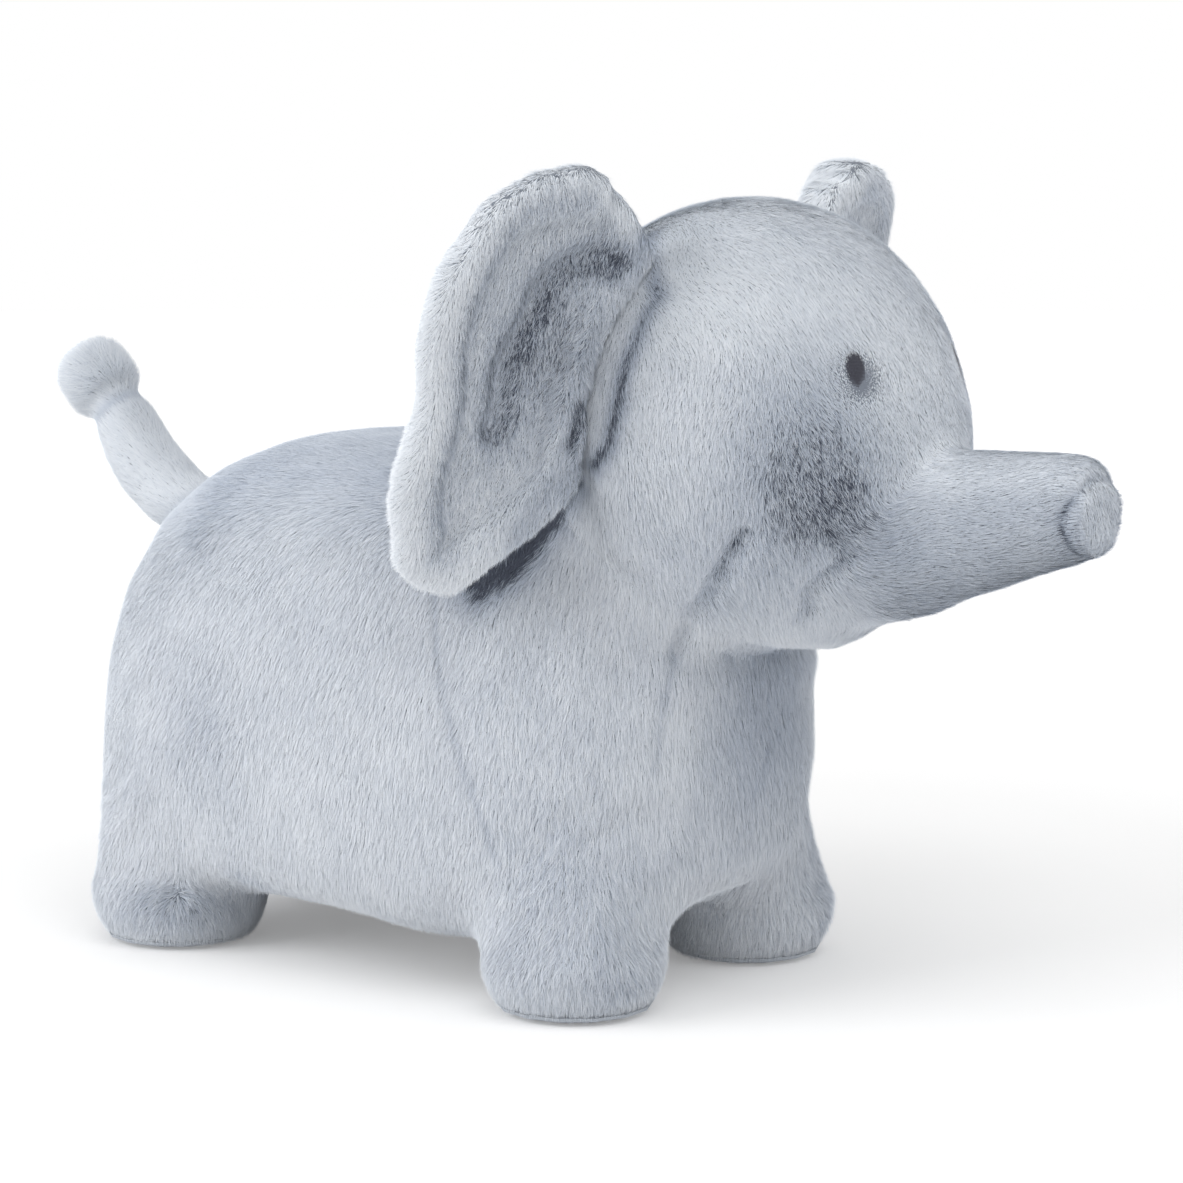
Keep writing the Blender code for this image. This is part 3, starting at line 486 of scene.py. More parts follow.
sink(skin, FOOT_SINK - BODY_SWELL * step(places_of(skin)[:, 2], 0.03, 0.12))
places = places_of(skin)
belly = fall(places[:, 2], 0.045, 0.075) * bell(places[:, 0], 0.010, 0.055)
places[:, 2] -= BELLY_SAG * belly * step(places[:, 2], 0.020, 0.030) * step(np.abs(places[:, 1]), 0.05, 0.08)
places[:, 0] += TIP_REACH * step(places[:, 0], trunk_root.x + 0.075, trunk_root.x + 0.100)
chin = ball(places, CHIN, CHIN_RADII)
places[:, 2] -= CHIN_DROP * chin
places[:, 0] += CHIN_FORWARD * chin
put_places(skin, places)

# %% Draw the lower chest in, and let the upper chest and the rump stand out
places = places_of(skin)
lower_chest = step(places[:, 0], 0.085, 0.115) * bell(places[:, 2], 0.092, 0.022)
upper_chest = step(places[:, 0], 0.110, 0.130) * bell(places[:, 2], 0.163, 0.014)
lower_rear = fall(places[:, 0], -0.175, -0.140) * bell(places[:, 2], 0.065, 0.028)
sink(skin, 0.0020 * lower_chest - 0.0045 * lower_rear - 0.0050 * upper_chest)
print("skin from", places_of(skin).min(axis=0).round(3), "to", places_of(skin).max(axis=0).round(3))

# %% The tail, narrow before its tuft and a little bent
TAIL_VOXEL = 0.0028
TUFT_SEAM = 0.0925
BEND_OUT, BEND_AT_ROOT = 0.0065, 0.0085

tail_skin = joined_copy("tail_skin", "tail_cover", "tail_fill", "tail_tuft")
sewn_skin(tail_skin, TAIL_VOXEL, 6)
tail_end = (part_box("tail_tuft")[0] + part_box("tail_tuft")[1]) / 2
tail_way = np.array((tail_end - tail_root).normalized())
tail_reach = (places_of(tail_skin) - np.array(tail_root)) @ tail_way
smooth_where(tail_skin, bell(tail_reach, TUFT_SEAM, 0.009), 25)
sink(tail_skin, 0.0020 * step(tail_reach, 0.085, 0.100) - 0.0012)
bend = BEND_OUT * bell(tail_reach, 0.060, 0.030) - BEND_AT_ROOT * (1 - step(tail_reach, 0.0, 0.036))
places = places_of(tail_skin)
places += bend[:, None] * np.array([-tail_way[2], 0.0, tail_way[0]])
put_places(tail_skin, places)
print("tail", round(float(tail_reach.max()) * 1000), "mm long, bent", round(float(bend.max()) * 1000, 1))

# %% The ears, with the lobe that hangs outward and the soft waist above it
EAR_FRONT = np.array([0.82, -0.56, 0.05])
ACROSS_EAR = np.array([0.564, 0.826, 0.0])
EAR_MIDDLE = np.array([0.110, -0.115, 0.300])
EAR_VOXEL = 0.0030
LOBE_SWING, LOBE_RISE, TIP_SWING = 0.0125, 0.0085, 0.010
WAIST = 0.0050
FULLER_TOP = 0.012


def mirror_of(values, side):
    """A place or a direction of the right ear, or its mirror image on the left ear."""
    return values * np.array([1, -1 if side == "left" else 1, 1])


def hang_the_lobe(ear, side):
    """Swing the lower lobe outward, lift its end, and draw the rim in above it."""
    places = places_of(ear)
    height = places[:, 2]
    reach = (places - mirror_of(EAR_MIDDLE, side)) @ mirror_of(ACROSS_EAR, side)
    lobe = 1 - step(height, 0.240, 0.290)
    tip = 1 - step(height, 0.200, 0.245)
    headward = step(reach, -0.055, -0.010)
    waist = bell(height, 0.300, 0.022) * (1 - step(reach, -0.075, -0.050))
    move = WAIST * waist - LOBE_SWING * lobe * (0.35 + 0.65 * headward) - TIP_SWING * tip
    places += move[:, None] * mirror_of(ACROSS_EAR, side)
    places[:, 2] += LOBE_RISE * tip
    put_places(ear, places)


ear_skins = {}
for side in ("left", "right"):
    shells = [part + side for part in ("ear_back_", "ear_front_", "ear_fill_")]
    ear_skins[side] = joined_copy("ear_skin_" + side, *shells)
    sewn_skin(ear_skins[side], EAR_VOXEL, 10)
    hang_the_lobe(ear_skins[side], side)
ear = ear_skins["left"]
behind = np.clip(0.5 - normals_of(ear) @ mirror_of(EAR_FRONT, "left"), 0, 1)
places = places_of(ear)
thicker = FULLER_TOP * behind * step(places[:, 2], 0.350, 0.392)
put_places(ear, places - thicker[:, None] * mirror_of(EAR_FRONT, "left"))
print("ears shaped, the left one a little fuller behind its top")


# %% [markdown]
# ## Stuffing and seams
#
# Stuffing and air push the cloth out, and the seams hold it in. A short cloth simulation with a
# little pressure does that: the vertices along the seam lines are pinned, the rest swells, and a cap
# keeps it near the CAD form. The seam lines are points in the toy's own metres, read where the photo
# shows them, and each line is laid onto the skin along the camera's line of sight.

# %% Seam lines
def laid_on(piece, line):
    """Move a line's points along the line of sight onto a skin."""
    laid = []
    for point in line:
        way = (Vector(point) - eye_point).normalized()
        hit, place, _, _ = piece.ray_cast(eye_point, way)
        laid.append(place if hit else Vector(point))
    return laid


def both_sides(piece, *lines):
    """The lines laid on the skin, and their mirror images."""
    laid = [laid_on(piece, line) for line in lines]
    return laid + [[Vector((p.x, -p.y, p.z)) for p in line] for line in laid]


flank_seam = [(0.0231, -0.105, 0.206), (0.0261, -0.109, 0.193), (0.0331, -0.113, 0.161),
              (0.0441, -0.113, 0.128), (0.0551, -0.112, 0.100), (0.0621, -0.111, 0.081)]
chest_seam = [(0.1268, -0.0425, 0.187), (0.1253, -0.052, 0.176), (0.1251, -0.058, 0.163),
              (0.1241, -0.063, 0.144), (0.1234, -0.066, 0.125)]
neck_crease = [(0.1707, -0.0600, 0.2377), (0.1602, -0.0600, 0.2229), (0.1518, -0.0600, 0.2104),
               (0.1433, -0.0600, 0.2003), (0.1359, -0.0600, 0.1868), (0.1313, -0.0600, 0.1778)]
mouth_crease = [(0.2094, -0.0500, 0.2371), (0.2193, -0.0500, 0.2282), (0.2085, -0.0500, 0.2199),
                (0.1987, -0.0500, 0.2108), (0.1983, -0.0500, 0.2014)]
breast_line = [(0.1439, 0.0, 0.1298), (0.1393, 0.0, 0.1145), (0.1364, 0.0, 0.1043)]
trunk_tip_seam = [(0.3370, -0.0300, 0.2719), (0.3237, -0.0300, 0.2617), (0.3165, -0.0300, 0.2482),
                  (0.3207, -0.0300, 0.2378), (0.3279, -0.0300, 0.2329)]
ear_fold = [(0.0950, -0.1500, 0.2860), (0.0987, -0.1497, 0.2964), (0.0990, -0.1478, 0.3135),
            (0.1021, -0.1422, 0.3246), (0.1069, -0.1341, 0.3371), (0.1088, -0.1300, 0.3510),
            (0.1145, -0.1208, 0.3608), (0.1228, -0.1083, 0.3647), (0.1281, -0.1009, 0.3618)]
ear_second_fold = [(0.1198, -0.1188, 0.2972), (0.1192, -0.1204, 0.2881), (0.1178, -0.1231, 0.2813)]
ear_under_lobe = [(0.1190, -0.1220, 0.2660), (0.1103, -0.1367, 0.2522), (0.1060, -0.1439, 0.2411)]
ear_root_line = [(0.1281, -0.0778, 0.3735), (0.1387, -0.0866, 0.3470), (0.1338, -0.0955, 0.3285),
                 (0.1312, -0.1005, 0.3144), (0.1293, -0.1048, 0.2981), (0.1279, -0.1083, 0.2813),
                 (0.1238, -0.1151, 0.2714)]
ear_gap = [(0.1181, -0.1242, 0.2640), (0.1145, -0.1302, 0.2556), (0.1108, -0.1366, 0.2458),
           (0.1073, -0.1426, 0.2356), (0.1017, -0.1517, 0.2260), (0.0946, -0.1626, 0.2192)]
ear_rim_seam = [(0.1170, -0.1143, 0.3928), (0.1084, -0.1270, 0.3916), (0.1013, -0.1379, 0.3868),
                (0.0956, -0.1475, 0.3725), (0.0909, -0.1563, 0.3507), (0.0878, -0.1628, 0.3283),
                (0.0865, -0.1662, 0.3122), (0.0855, -0.1695, 0.2921), (0.0846, -0.1722, 0.2755),
                (0.0834, -0.1758, 0.2553), (0.0824, -0.1791, 0.2351)]


def distance_to_lines(places, lines):
    """How far each place is from the nearest of some lines."""
    nearest = np.full(len(places), 1.0)
    for line in lines:
        for start, end in zip(line, line[1:]):
            start = np.array(start)
            along = np.array(end) - start
            share = np.clip((places - start) @ along / (along @ along), 0, 1)
            gap = np.linalg.norm(places - start - share[:, None] * along, axis=1)
            nearest = np.minimum(nearest, gap)
    return nearest


def closeness(places, lines, width):
    """1 on the lines, falling to 0 over the width."""
    return np.exp(-(distance_to_lines(places, lines) / width) ** 2)


SEAMS = both_sides(skin, flank_seam, chest_seam)
CREASES = both_sides(skin, neck_crease, mouth_crease)
BREAST_LINE = [laid_on(skin, breast_line)]
TIP_SEAM = both_sides(skin, trunk_tip_seam)
EAR_GAPS = both_sides(skin, ear_gap)
EAR_ROOTS = both_sides(skin, ear_root_line)


# %% Blow the skins up between their seams
CLOTH_FRAMES = 20
PIN_WIDTH = 0.008


def stuffed(piece, lines, pressure, most):
    """Swell a skin by cloth simulation, with its seam lines pinned."""
    before = places_of(piece)
    pins = piece.vertex_groups.new(name="seams")
    held = closeness(before, lines, PIN_WIDTH)
    for index in np.flatnonzero(held > 0.05):
        pins.add([int(index)], float(held[index]), "REPLACE")
    cloth = piece.modifiers.new("stuffing", "CLOTH")
    cloth.settings.vertex_group_mass = pins.name
    cloth.settings.use_pressure = True
    cloth.settings.uniform_pressure_force = pressure
    cloth.settings.effector_weights.gravity = 0
    cloth.settings.quality = 5
    for number in range(1, CLOTH_FRAMES + 1):
        bpy.context.scene.frame_set(number)
    only(piece)
    bpy.ops.object.modifier_apply(modifier=cloth.name)
    move = places_of(piece) - before
    reach = np.linalg.norm(move, axis=1, keepdims=True)
    put_places(piece, before + move * np.minimum(1, most / np.maximum(reach, 1e-9)))
    bpy.context.scene.frame_set(1)
    print(piece.name, "moved", round(float(reach.max()) * 1000, 1), "mm at most")


stuffed(skin, SEAMS + CREASES, 2.0, 0.002)


# %% Press the seams in
def pressed_in(piece, lines, width, depth):
    """Draw a skin in along its seam lines."""
    sink(piece, closeness(places_of(piece), lines, width) * depth)


pressed_in(skin, SEAMS, 0.0045, 0.0006)
pressed_in(skin, CREASES, 0.0040, 0.0036)
pressed_in(skin, EAR_GAPS, 0.012, 0.0035)
pressed_in(skin, TIP_SEAM, 0.0032, 0.0018)
print("seams pressed in:", len(SEAMS + CREASES + EAR_GAPS + TIP_SEAM), "lines")


# %% [markdown]
# ### The ears' relief
#
# An ear is a thick pad with a round pale rim, a sewn line inside the rim, a dished inner panel and a
# fold that arches over a hollow. The relief is pressed into the remeshed skin: each vertex is moved
# along its normal by an amount that depends on how far it lies from the rim and from the fold lines.

# %% Where the ears' lines lie
RIM_WIDTH = 0.017
EAR_HOLLOW = np.array([0.109, -0.115, 0.321])


def mirrored(line, side):
    """A line of the right ear, or its mirror image on the left ear."""
    flip = Vector((1, -1 if side == "left" else 1, 1))
    return [point * flip for point in line]


laid_lines = {name: laid_on(ear_skins["right"], line)
              for name, line in (("fold", ear_fold), ("rim", ear_rim_seam), ("under", ear_under_lobe),
                                 ("second", ear_second_fold), ("root", ear_root_line))}


def from_rim(piece, front):
    """How far each vertex lies from the thin rim of the ear."""
    places, normals = places_of(piece), normals_of(piece)
    edge = np.flatnonzero(np.abs(normals @ front) < 0.25)
    tree = kdtree.KDTree(len(edge))
    for number, index in enumerate(edge):
        tree.insert(places[index], number)
    tree.balance()
    return np.array([tree.find(place)[2] for place in places])


# %% Press the relief into the ears
FOLD_DEPTH, HOLLOW_DEPTH, UNDER_DEPTH = 0.0075, 0.0035, 0.0045
RIM_SWELL, PANEL_SINK = 0.0038, 0.0010

for side, ear in ear_skins.items():
    lines = {name: mirrored(line, side) for name, line in laid_lines.items()}
    front = mirror_of(EAR_FRONT, side)
    rim_gap = from_rim(ear, front)
    places = places_of(ear)
    facing = np.clip(normals_of(ear) @ front * 1.5, 0, 1)
    near_head = fall(np.abs(places[:, 1]), 0.096, 0.108)
    rim = (1 - step(rim_gap, RIM_WIDTH * 0.8, RIM_WIDTH * 1.3)) * (1 - near_head)
    hollow = ball(places, mirror_of(EAR_HOLLOW, side), (0.04, 0.024, 0.040))
    sewn = closeness(places, [lines["rim"]], 0.0050)
    fold = closeness(places, [lines["fold"]], 0.0055)
    second = closeness(places, [lines["second"]], 0.0045)
    under = closeness(places, [lines["under"]], 0.0090)
    dent = facing * (0.0012 * sewn + FOLD_DEPTH * fold + HOLLOW_DEPTH * hollow + 0.0030 * second
                     + UNDER_DEPTH * under + 0.0018 * (1 - rim))
    sink(ear, dent * (1 - 0.5 * near_head) - RIM_SWELL * rim + PANEL_SINK * (1 - rim))
    modify(ear, "SMOOTH", factor=0.5, iterations=2)
    stuffed(ear, [lines["fold"], lines["rim"]], 1.5, 0.001)
    print(ear.name, "rim vertices", int((rim > 0.5).sum()))

# %% [markdown]
# ### The neck seam
#
# The head was sewn to the body round the neck, and the skin is divided there into the head's part
# and the body's part.

# %% Divide the skin at the neck seam
NECK_FRONT = Vector((head_middle[0] + 0.019, 0, head_middle[2] - 0.104))
NECK_BACK = Vector((head_middle[0] - 0.086, 0, head_middle[2] - 0.019))
neck_normal = Vector((0, -1, 0)).cross(NECK_FRONT - NECK_BACK).normalized()


def divided(piece, name, keep_above):
    """A copy of the skin on one side of the neck seam."""
    half = copy_of(piece, name)
    bpy.ops.object.mode_set(mode="EDIT")
    bpy.ops.mesh.select_all(action="SELECT")
    bpy.ops.mesh.bisect(plane_co=NECK_FRONT, plane_no=neck_normal, clear_inner=keep_above,
                        clear_outer=not keep_above)
    bpy.ops.object.mode_set(mode="OBJECT")
    return half


body_skin = divided(skin, "body_skin", False)
head_skin = divided(skin, "head_skin", True)
print("neck normal", [round(value, 2) for value in neck_normal], "body", len(body_skin.data.vertices),
      "head", len(head_skin.data.vertices))


# %% [markdown]
# ## The pile
#
# Faux fur is a mat of fine fibres that lie the way they were last stroked. Each hair here is one
# slender blade, wide at its root and pointed at its tip. Geometry Nodes scatters the blades over a
# skin, turns each one to the skin's normal and then to a combing direction that is stored on the
# skin, and the result is applied, so plain mesh is left. The blade's texture map holds two numbers for
# the finish: how pale the lock is, a tone that also carries painted shade and painted light, and how
# far up the hair the point lies.

# %% One hair
HAIR_LENGTH = 0.0080
HAIR_WIDTH = 0.00040
HAIR_RISE = 0.0020
MAP_SPREAD = 0.015


def model_hair():
    """A blade of one triangle along +X, its tip above its root."""
    bpy.ops.mesh.primitive_plane_add(size=1, location=(0, 0, 0))
    hair = bpy.context.object
    hair.name = "hair"
    choose(hair, places_of(hair)[:, 0] > 0)
    bpy.ops.mesh.merge(type="CENTER")
    bpy.ops.transform.translate(value=(0, 0, HAIR_RISE / HAIR_LENGTH))
    bpy.ops.mesh.select_all(action="SELECT")
    bpy.ops.transform.translate(value=(0.5, 0, 0))
    bpy.ops.transform.resize(value=(HAIR_LENGTH, HAIR_WIDTH, HAIR_LENGTH), center_override=(0, 0, 0))
    bpy.ops.object.mode_set(mode="OBJECT")
    places = places_of(hair)
    for field, values in (("along", places[:, 0] / HAIR_LENGTH), ("across", places[:, 1] / HAIR_WIDTH * 2)):
        hair.data.attributes.new(field, "FLOAT", "POINT").data.foreach_set("value", values.astype(np.float32))
    return hair


hair = model_hair()
print("hair:", len(hair.data.vertices), "vertices,", len(hair.data.polygons), "face")
print([tuple(round(v * 1000, 2) for v in vertex.co) for vertex in hair.data.vertices], "mm")


# %% The scatter
def scatter_nodes(seed, density):
    """Hairs on every face, turned to the comb and varied a little."""
    tree = bpy.data.node_groups.new("pile_scatter", "GeometryNodeTree")
    tree.interface.new_socket("Geometry", in_out="INPUT", socket_type="NodeSocketGeometry")
    tree.interface.new_socket("Geometry", in_out="OUTPUT", socket_type="NodeSocketGeometry")

    def node(kind, settings=None, inputs=None, output=0):
        return add_node(tree, kind, settings, inputs, output)

    def stored(name, kind="FLOAT"):
        return node("GeometryNodeInputNamedAttribute", {"data_type": kind}, {"Name": name})

    def varied(low, high, offset):
        return node("FunctionNodeRandomValue", {"data_type": "FLOAT"}, {2: low, 3: high, 8: seed + offset}, 1)

    def locks(stretch, shift):
        """Soft noise from -0.5 to 0.5 that hairs of one lock share."""
        place = node("ShaderNodeVectorMath", {"operation": "MULTIPLY"},
                     {0: node("GeometryNodeInputPosition"), 1: stretch})
        place = node("ShaderNodeVectorMath", {"operation": "ADD"}, {0: place, 1: (shift, shift, shift)})
        return node("ShaderNodeTexNoise", None, {"Vector": place, "Scale": 1.0, "Detail": 1.0}) - 0.5

    scatter = tree.nodes.new("GeometryNodeDistributePointsOnFaces")
    plug(tree, scatter.inputs["Mesh"], node("NodeGroupInput"))
    plug(tree, scatter.inputs["Density"], stored("share") * density)
    scatter.inputs["Seed"].default_value = seed
    points = Wire(tree, scatter.outputs["Points"])
    normal = Wire(tree, scatter.outputs["Normal"])
    upright = node("FunctionNodeAlignRotationToVector", {"axis": "Z"}, {"Vector": normal})
    combed = node("FunctionNodeAlignRotationToVector", {"axis": "X", "pivot_axis": "Z"},
                  {"Rotation": upright, "Vector": stored("comb", "FLOAT_VECTOR")})
    rough = stored("rough")
    lift = stored("lift") * -1.0 + varied(-0.10, 0.07, 1) * rough
    yaw = locks((300.0, 300.0, 190.0), 4.0) * rough * 0.7 + varied(-0.16, 0.16, 3) * rough
    stray = node("ShaderNodeCombineXYZ", None, {0: varied(-0.28, 0.28, 2), 1: lift, 2: yaw})
    turned = node("FunctionNodeEulerToRotation", None, {0: stray})
    facing = node("FunctionNodeRotateRotation", {"rotation_space": "LOCAL"}, {0: combed, 1: turned})
    length = stored("length") * varied(0.75, 1.15, 4)
    size = node("ShaderNodeCombineXYZ", None, {0: length, 1: varied(0.75, 1.2, 5), 2: length})
    blade = node("GeometryNodeObjectInfo", {"transform_space": "ORIGINAL"}, {"Object": hair}, "Geometry")
    hairs = node("GeometryNodeInstanceOnPoints", None,
                 {"Points": points, "Instance": blade, "Rotation": facing, "Scale": size})
    tone = stored("tone") + locks((620.0, 620.0, 150.0), 9.0) * rough * 0.30 + varied(-0.14, 0.14, 6) * rough
    tinted = node("GeometryNodeStoreNamedAttribute", {"data_type": "FLOAT", "domain": "INSTANCE"},
                  {"Geometry": hairs, "Name": "tone", "Value": tone})
    mesh = node("GeometryNodeRealizeInstances", None, {"Geometry": tinted})
    kept = stored("tone").math("MAXIMUM", stored("tone"), 0.03)
    kept = kept.math("MINIMUM", kept, 0.97) + stored("across") * MAP_SPREAD
    square = node("ShaderNodeCombineXYZ", None, {0: kept, 1: stored("along") * 0.96 + 0.02})
    mapped = node("GeometryNodeStoreNamedAttribute", {"data_type": "FLOAT2", "domain": "CORNER"},
                  {"Geometry": mesh, "Name": "OFBake", "Value": square})
    out = tree.nodes.new("NodeGroupOutput")
    plug(tree, out.inputs[0], mapped)
    return tree


# %% The finish of the pile
def pile_finish():
    """Darker at the root, pale at the tip, paler or darker from lock to lock, and near-black painted shadow at
    the lowest tones.
    """
    finish = Finish("faux_fur_pile", Roughness=0.85, Sheen_Weight=0.25, Sheen_Roughness=0.5,
                    Specular_IOR_Level=0.1, Sheen_Tint=(0.78, 0.88, 1.0, 1.0))
    split = finish.node("ShaderNodeUVMap", {"uv_map": "OFBake"})
    lock = finish.node("ShaderNodeSeparateXYZ", None, {0: split}, "X")
    height = finish.node("ShaderNodeSeparateXYZ", None, {0: split}, "Y")
    dark_stops = [(0.0, (0.20, 0.24, 0.32)), (0.4, (0.40, 0.46, 0.56)), (1.0, (0.53, 0.59, 0.69))]
    pale_stops = [(0.0, (0.74, 0.79, 0.86)), (0.4, (0.885, 0.918, 0.958)), (1.0, (0.935, 0.958, 0.985))]
    dark = finish.node("ShaderNodeValToRGB", {"stops": dark_stops}, {"Fac": height})
    pale = finish.node("ShaderNodeValToRGB", {"stops": pale_stops}, {"Fac": height})
    # Painted shadow: the lowest tones mix in a near-black, reached mostly where the ear gaps, creases and ear
    # folds are painted dark.
    lit = finish.node("ShaderNodeMapRange", None, {"Value": lock, "From Min": 0.02, "From Max": 0.11})
    return finish.give(Base_Color=finish.mix(lit, (0.055, 0.062, 0.090), finish.mix(lock, dark, pale)))


pile_material = pile_finish()

# %% Grow the pile on one part of a skin
PILE_DENSITY = 3_000_000
HAIR_FIELDS = ("tone", "along", "across", "comb", "lift", "length", "rough", "share")


def store(piece, name, values):
    """Keep a number or a direction on each vertex."""
    kind = "FLOAT_VECTOR" if values.ndim == 2 else "FLOAT"
    attribute = piece.data.attributes.get(name) or piece.data.attributes.new(name, kind, "POINT")
    field = "vector" if values.ndim == 2 else "value"
    attribute.data.foreach_set(field, values.astype(np.float32).ravel())


def grown(name, ground, share, seed):
    """The hairs of one sewn panel; share is 1 on the vertices that belong to it."""
    pile = copy_of(ground, name)
    store(pile, "share", share)
    scatter = pile.modifiers.new("pile", "NODES")
    scatter.node_group = scatter_nodes(seed, PILE_DENSITY)
    bpy.ops.object.modifier_apply(modifier=scatter.name)
    pile.data.materials.clear()
    pile.data.materials.append(pile_material)
    places = places_of(pile)
    places[:, 2] = np.maximum(places[:, 2], 0.0004)
    put_places(pile, places)
    for field in HAIR_FIELDS:
        if field in pile.data.attributes:
            pile.data.attributes.remove(pile.data.attributes[field])
    print(name, len(pile.data.polygons), "hairs")
    return pile


def cloudy(places, scale, seed):
    """Smooth noise from -1 to 1 on each place."""
    shift = Vector((seed * 7.3, seed * 3.1, seed * 5.7))
    return np.array([noise.noise(Vector(place) * scale + shift) for place in places])


def blob(places, centre, radius):
    """1 in the middle of a brushed patch, and on its mirror image, falling to 0 at about its radius."""
    centre = np.array(centre)
    near = np.linalg.norm((places - centre) / radius, axis=1)
    far = np.linalg.norm((places - centre * (1, -1, 1)) / radius, axis=1)
    return np.exp(-np.minimum(near, far) ** 2)


def pressed_flat(ways, normals):
    """Directions laid onto the surface, one unit long."""
    flat = ways - normals * (ways * normals).sum(1, keepdims=True)
    return flat / np.maximum(np.linalg.norm(flat, axis=1, keepdims=True), 1e-6)


def comb(piece, ways, swirl, seed):
    """Store the way the hairs lie: directions pressed onto the surface, with soft swirls."""
    places, normals = places_of(piece), normals_of(piece)
    drift = np.stack([cloudy(places, 30.0, seed + axis) + 0.7 * cloudy(places, 80.0, seed + axis + 3)
                      for axis in range(3)], axis=1)
    store(piece, "comb", pressed_flat(pressed_flat(ways, normals) + swirl * drift, normals))


def ground_of(piece):
    """A finer copy of a skin for the hairs to grow on."""
    ground = copy_of(piece, piece.name + "_ground")
    modify(ground, "SUBSURF", levels=1, render_levels=1)
    return ground


# %% [markdown]
# ### How the body, the head and the trunk are combed
#
# The body's pile lies straight down on the flanks, the chest and the legs, and runs to the tail on
# the back. On the head it runs from a crown at the back down to the brow and the cheeks, and it follows
# the trunk to its tip. It was ruffled in a few places, mostly the cheeks and the feet, and there the
# darker roots show. Round the eyes it is clipped short.

# %% Comb the body, with hairs that part at a point on two of the feet
PARTINGS = (((-0.150, -0.105, 0.028), 0.020), ((0.134, -0.095, 0.034), 0.014))
grounds = {"body": ground_of(body_skin), "head": ground_of(head_skin)}

ground = grounds["body"]
places, normals = places_of(ground), normals_of(ground)
height = places[:, 2]
back_share = step(normals[:, 2], 0.45, 0.85) * step(height, 0.12, 0.22)
down = np.tile([-0.08, 0.0, -1.0], (len(places), 1))
backward = np.tile([-1.0, 0.0, -0.3], (len(places), 1))
ways = down * (1 - back_share[:, None]) + backward * back_share[:, None]
for parting, radius in PARTINGS:
    middle = np.array(parting) * np.column_stack([np.ones(len(places)), -np.sign(places[:, 1]),
                                                  np.ones(len(places))])
    away = (places - middle) / np.linalg.norm(places - middle, axis=1, keepdims=True)
    ways = ways + 1.2 * away * blob(places, parting, radius)[:, None]
comb(ground, ways, 0.20, 1)
print("body ground", len(places), "vertices")

# %% Where the body's pile is dark, ruffled or short
RUFFLES = ((0.75, (-0.152, -0.105, 0.027), (0.028, 0.04, 0.013)),
           (0.7, (-0.104, -0.105, 0.046), (0.012, 0.03, 0.008)),
           (0.45, (-0.115, -0.118, 0.126), 0.026),
           (0.50, (-0.135, -0.085, 0.228), 0.030),
           (1.0, (0.136, -0.095, 0.020), (0.016, 0.03, 0.006)),
           (0.7, (0.133, -0.095, 0.040), (0.014, 0.03, 0.014)),
           (0.3, (0.01, -0.10, 0.245), 0.04))
CREASE_WIDTH, NEAR_CREASE = 0.0024, 0.0050

seam_share = np.maximum(closeness(places, SEAMS, 0.0020), 0.7 * closeness(places, BREAST_LINE, 0.0018))
# Painted shade: the pile along the neck and mouth creases is darkened, as shade in the groove.
painted_crease_shade = closeness(places, CREASES, CREASE_WIDTH)
near_crease = closeness(places, CREASES, NEAR_CREASE)
# Painted shadow: the pile is darkened, down to near-black, along the line where each ear lobe shades the neck,
# and its hairs are shortened there.
painted_ear_shadow = closeness(places, EAR_GAPS, 0.0120)
ruffled = np.clip(sum(weight * blob(places, centre, radii) for weight, centre, radii in RUFFLES), 0, 1)
streaks = blob(places, (0.085, -0.105, 0.130), (0.040, 0.05, 0.090))
outer = step(normals[:, 1] * np.sign(places[:, 1]), 0.0, 0.5)
front_leg = step(places[:, 0], 0.04, 0.09) * fall(height, 0.07, 0.12)
inner_foot = front_leg * (1 - outer) * fall(height, 0.03, 0.05)
# Painted shadow of the head: the inner side of the breast is darkened.
breast = step(places[:, 0], 0.105, 0.130) * (1 - outer) * step(height, 0.05, 0.14)
body_clouds = cloudy(places, 22.0, 3) * 0.07 + cloudy(places, 60.0, 4) * 0.07
# The top of the back is darkened by back_share: painted shade from the ears, partly the pile that lies backward
# there.
store(ground, "tone", 0.77 + body_clouds - 0.48 * ruffled - 0.28 * seam_share - 0.95 * painted_crease_shade
      - 0.10 * streaks - 0.34 * back_share - 0.98 * painted_ear_shadow - 0.14 * front_leg * outer
      + 0.02 * inner_foot - 0.50 * breast)
store(ground, "lift", 0.04 - 0.05 * back_share + 0.25 * ruffled + 0.05 * cloudy(places, 45.0, 5))
store(ground, "rough", 0.9 + 2.0 * ruffled + 1.0 * streaks + 0.6 * front_leg + 0.3 * cloudy(places, 18.0, 16))
by_slot = (1 - step(np.abs(places[:, 1]), 0.016, 0.026)) * fall(height, 0.05, 0.06)
store(ground, "length", 1.0 - 0.15 * seam_share - 0.60 * near_crease + 0.08 * cloudy(places, 70.0, 6)
      - 0.30 * ruffled - 0.55 * painted_ear_shadow - 0.55 * by_slot)

# %% Comb the head and the trunk
ground = grounds["head"]
places, normals = places_of(ground), normals_of(ground)
along_trunk = np.array([0.98, 0.0, 0.19])
on_trunk = step(places[:, 0], trunk_root.x - 0.022, trunk_root.x + 0.020)[:, None]
crown = head_middle + np.array([-0.075, 0.0, 0.085])
head_top = step(normals[:, 2], 0.20, 0.65)
from_crown = places - crown
from_crown /= np.linalg.norm(from_crown, axis=1, keepdims=True)
from_crown += np.array([-0.20, 0.0, -0.90]) * (1 - head_top[:, None])
on_cap = on_trunk * step(normals[:, 0], 0.50, 0.85)[:, None]
ways = pressed_flat(from_crown, normals) * (1 - on_trunk) + along_trunk * on_trunk
comb(ground, ways * (1 - on_cap) + np.array([0.0, 0.0, -1.0]) * on_cap, 0.36, 21)
print("head ground", len(places), "vertices")

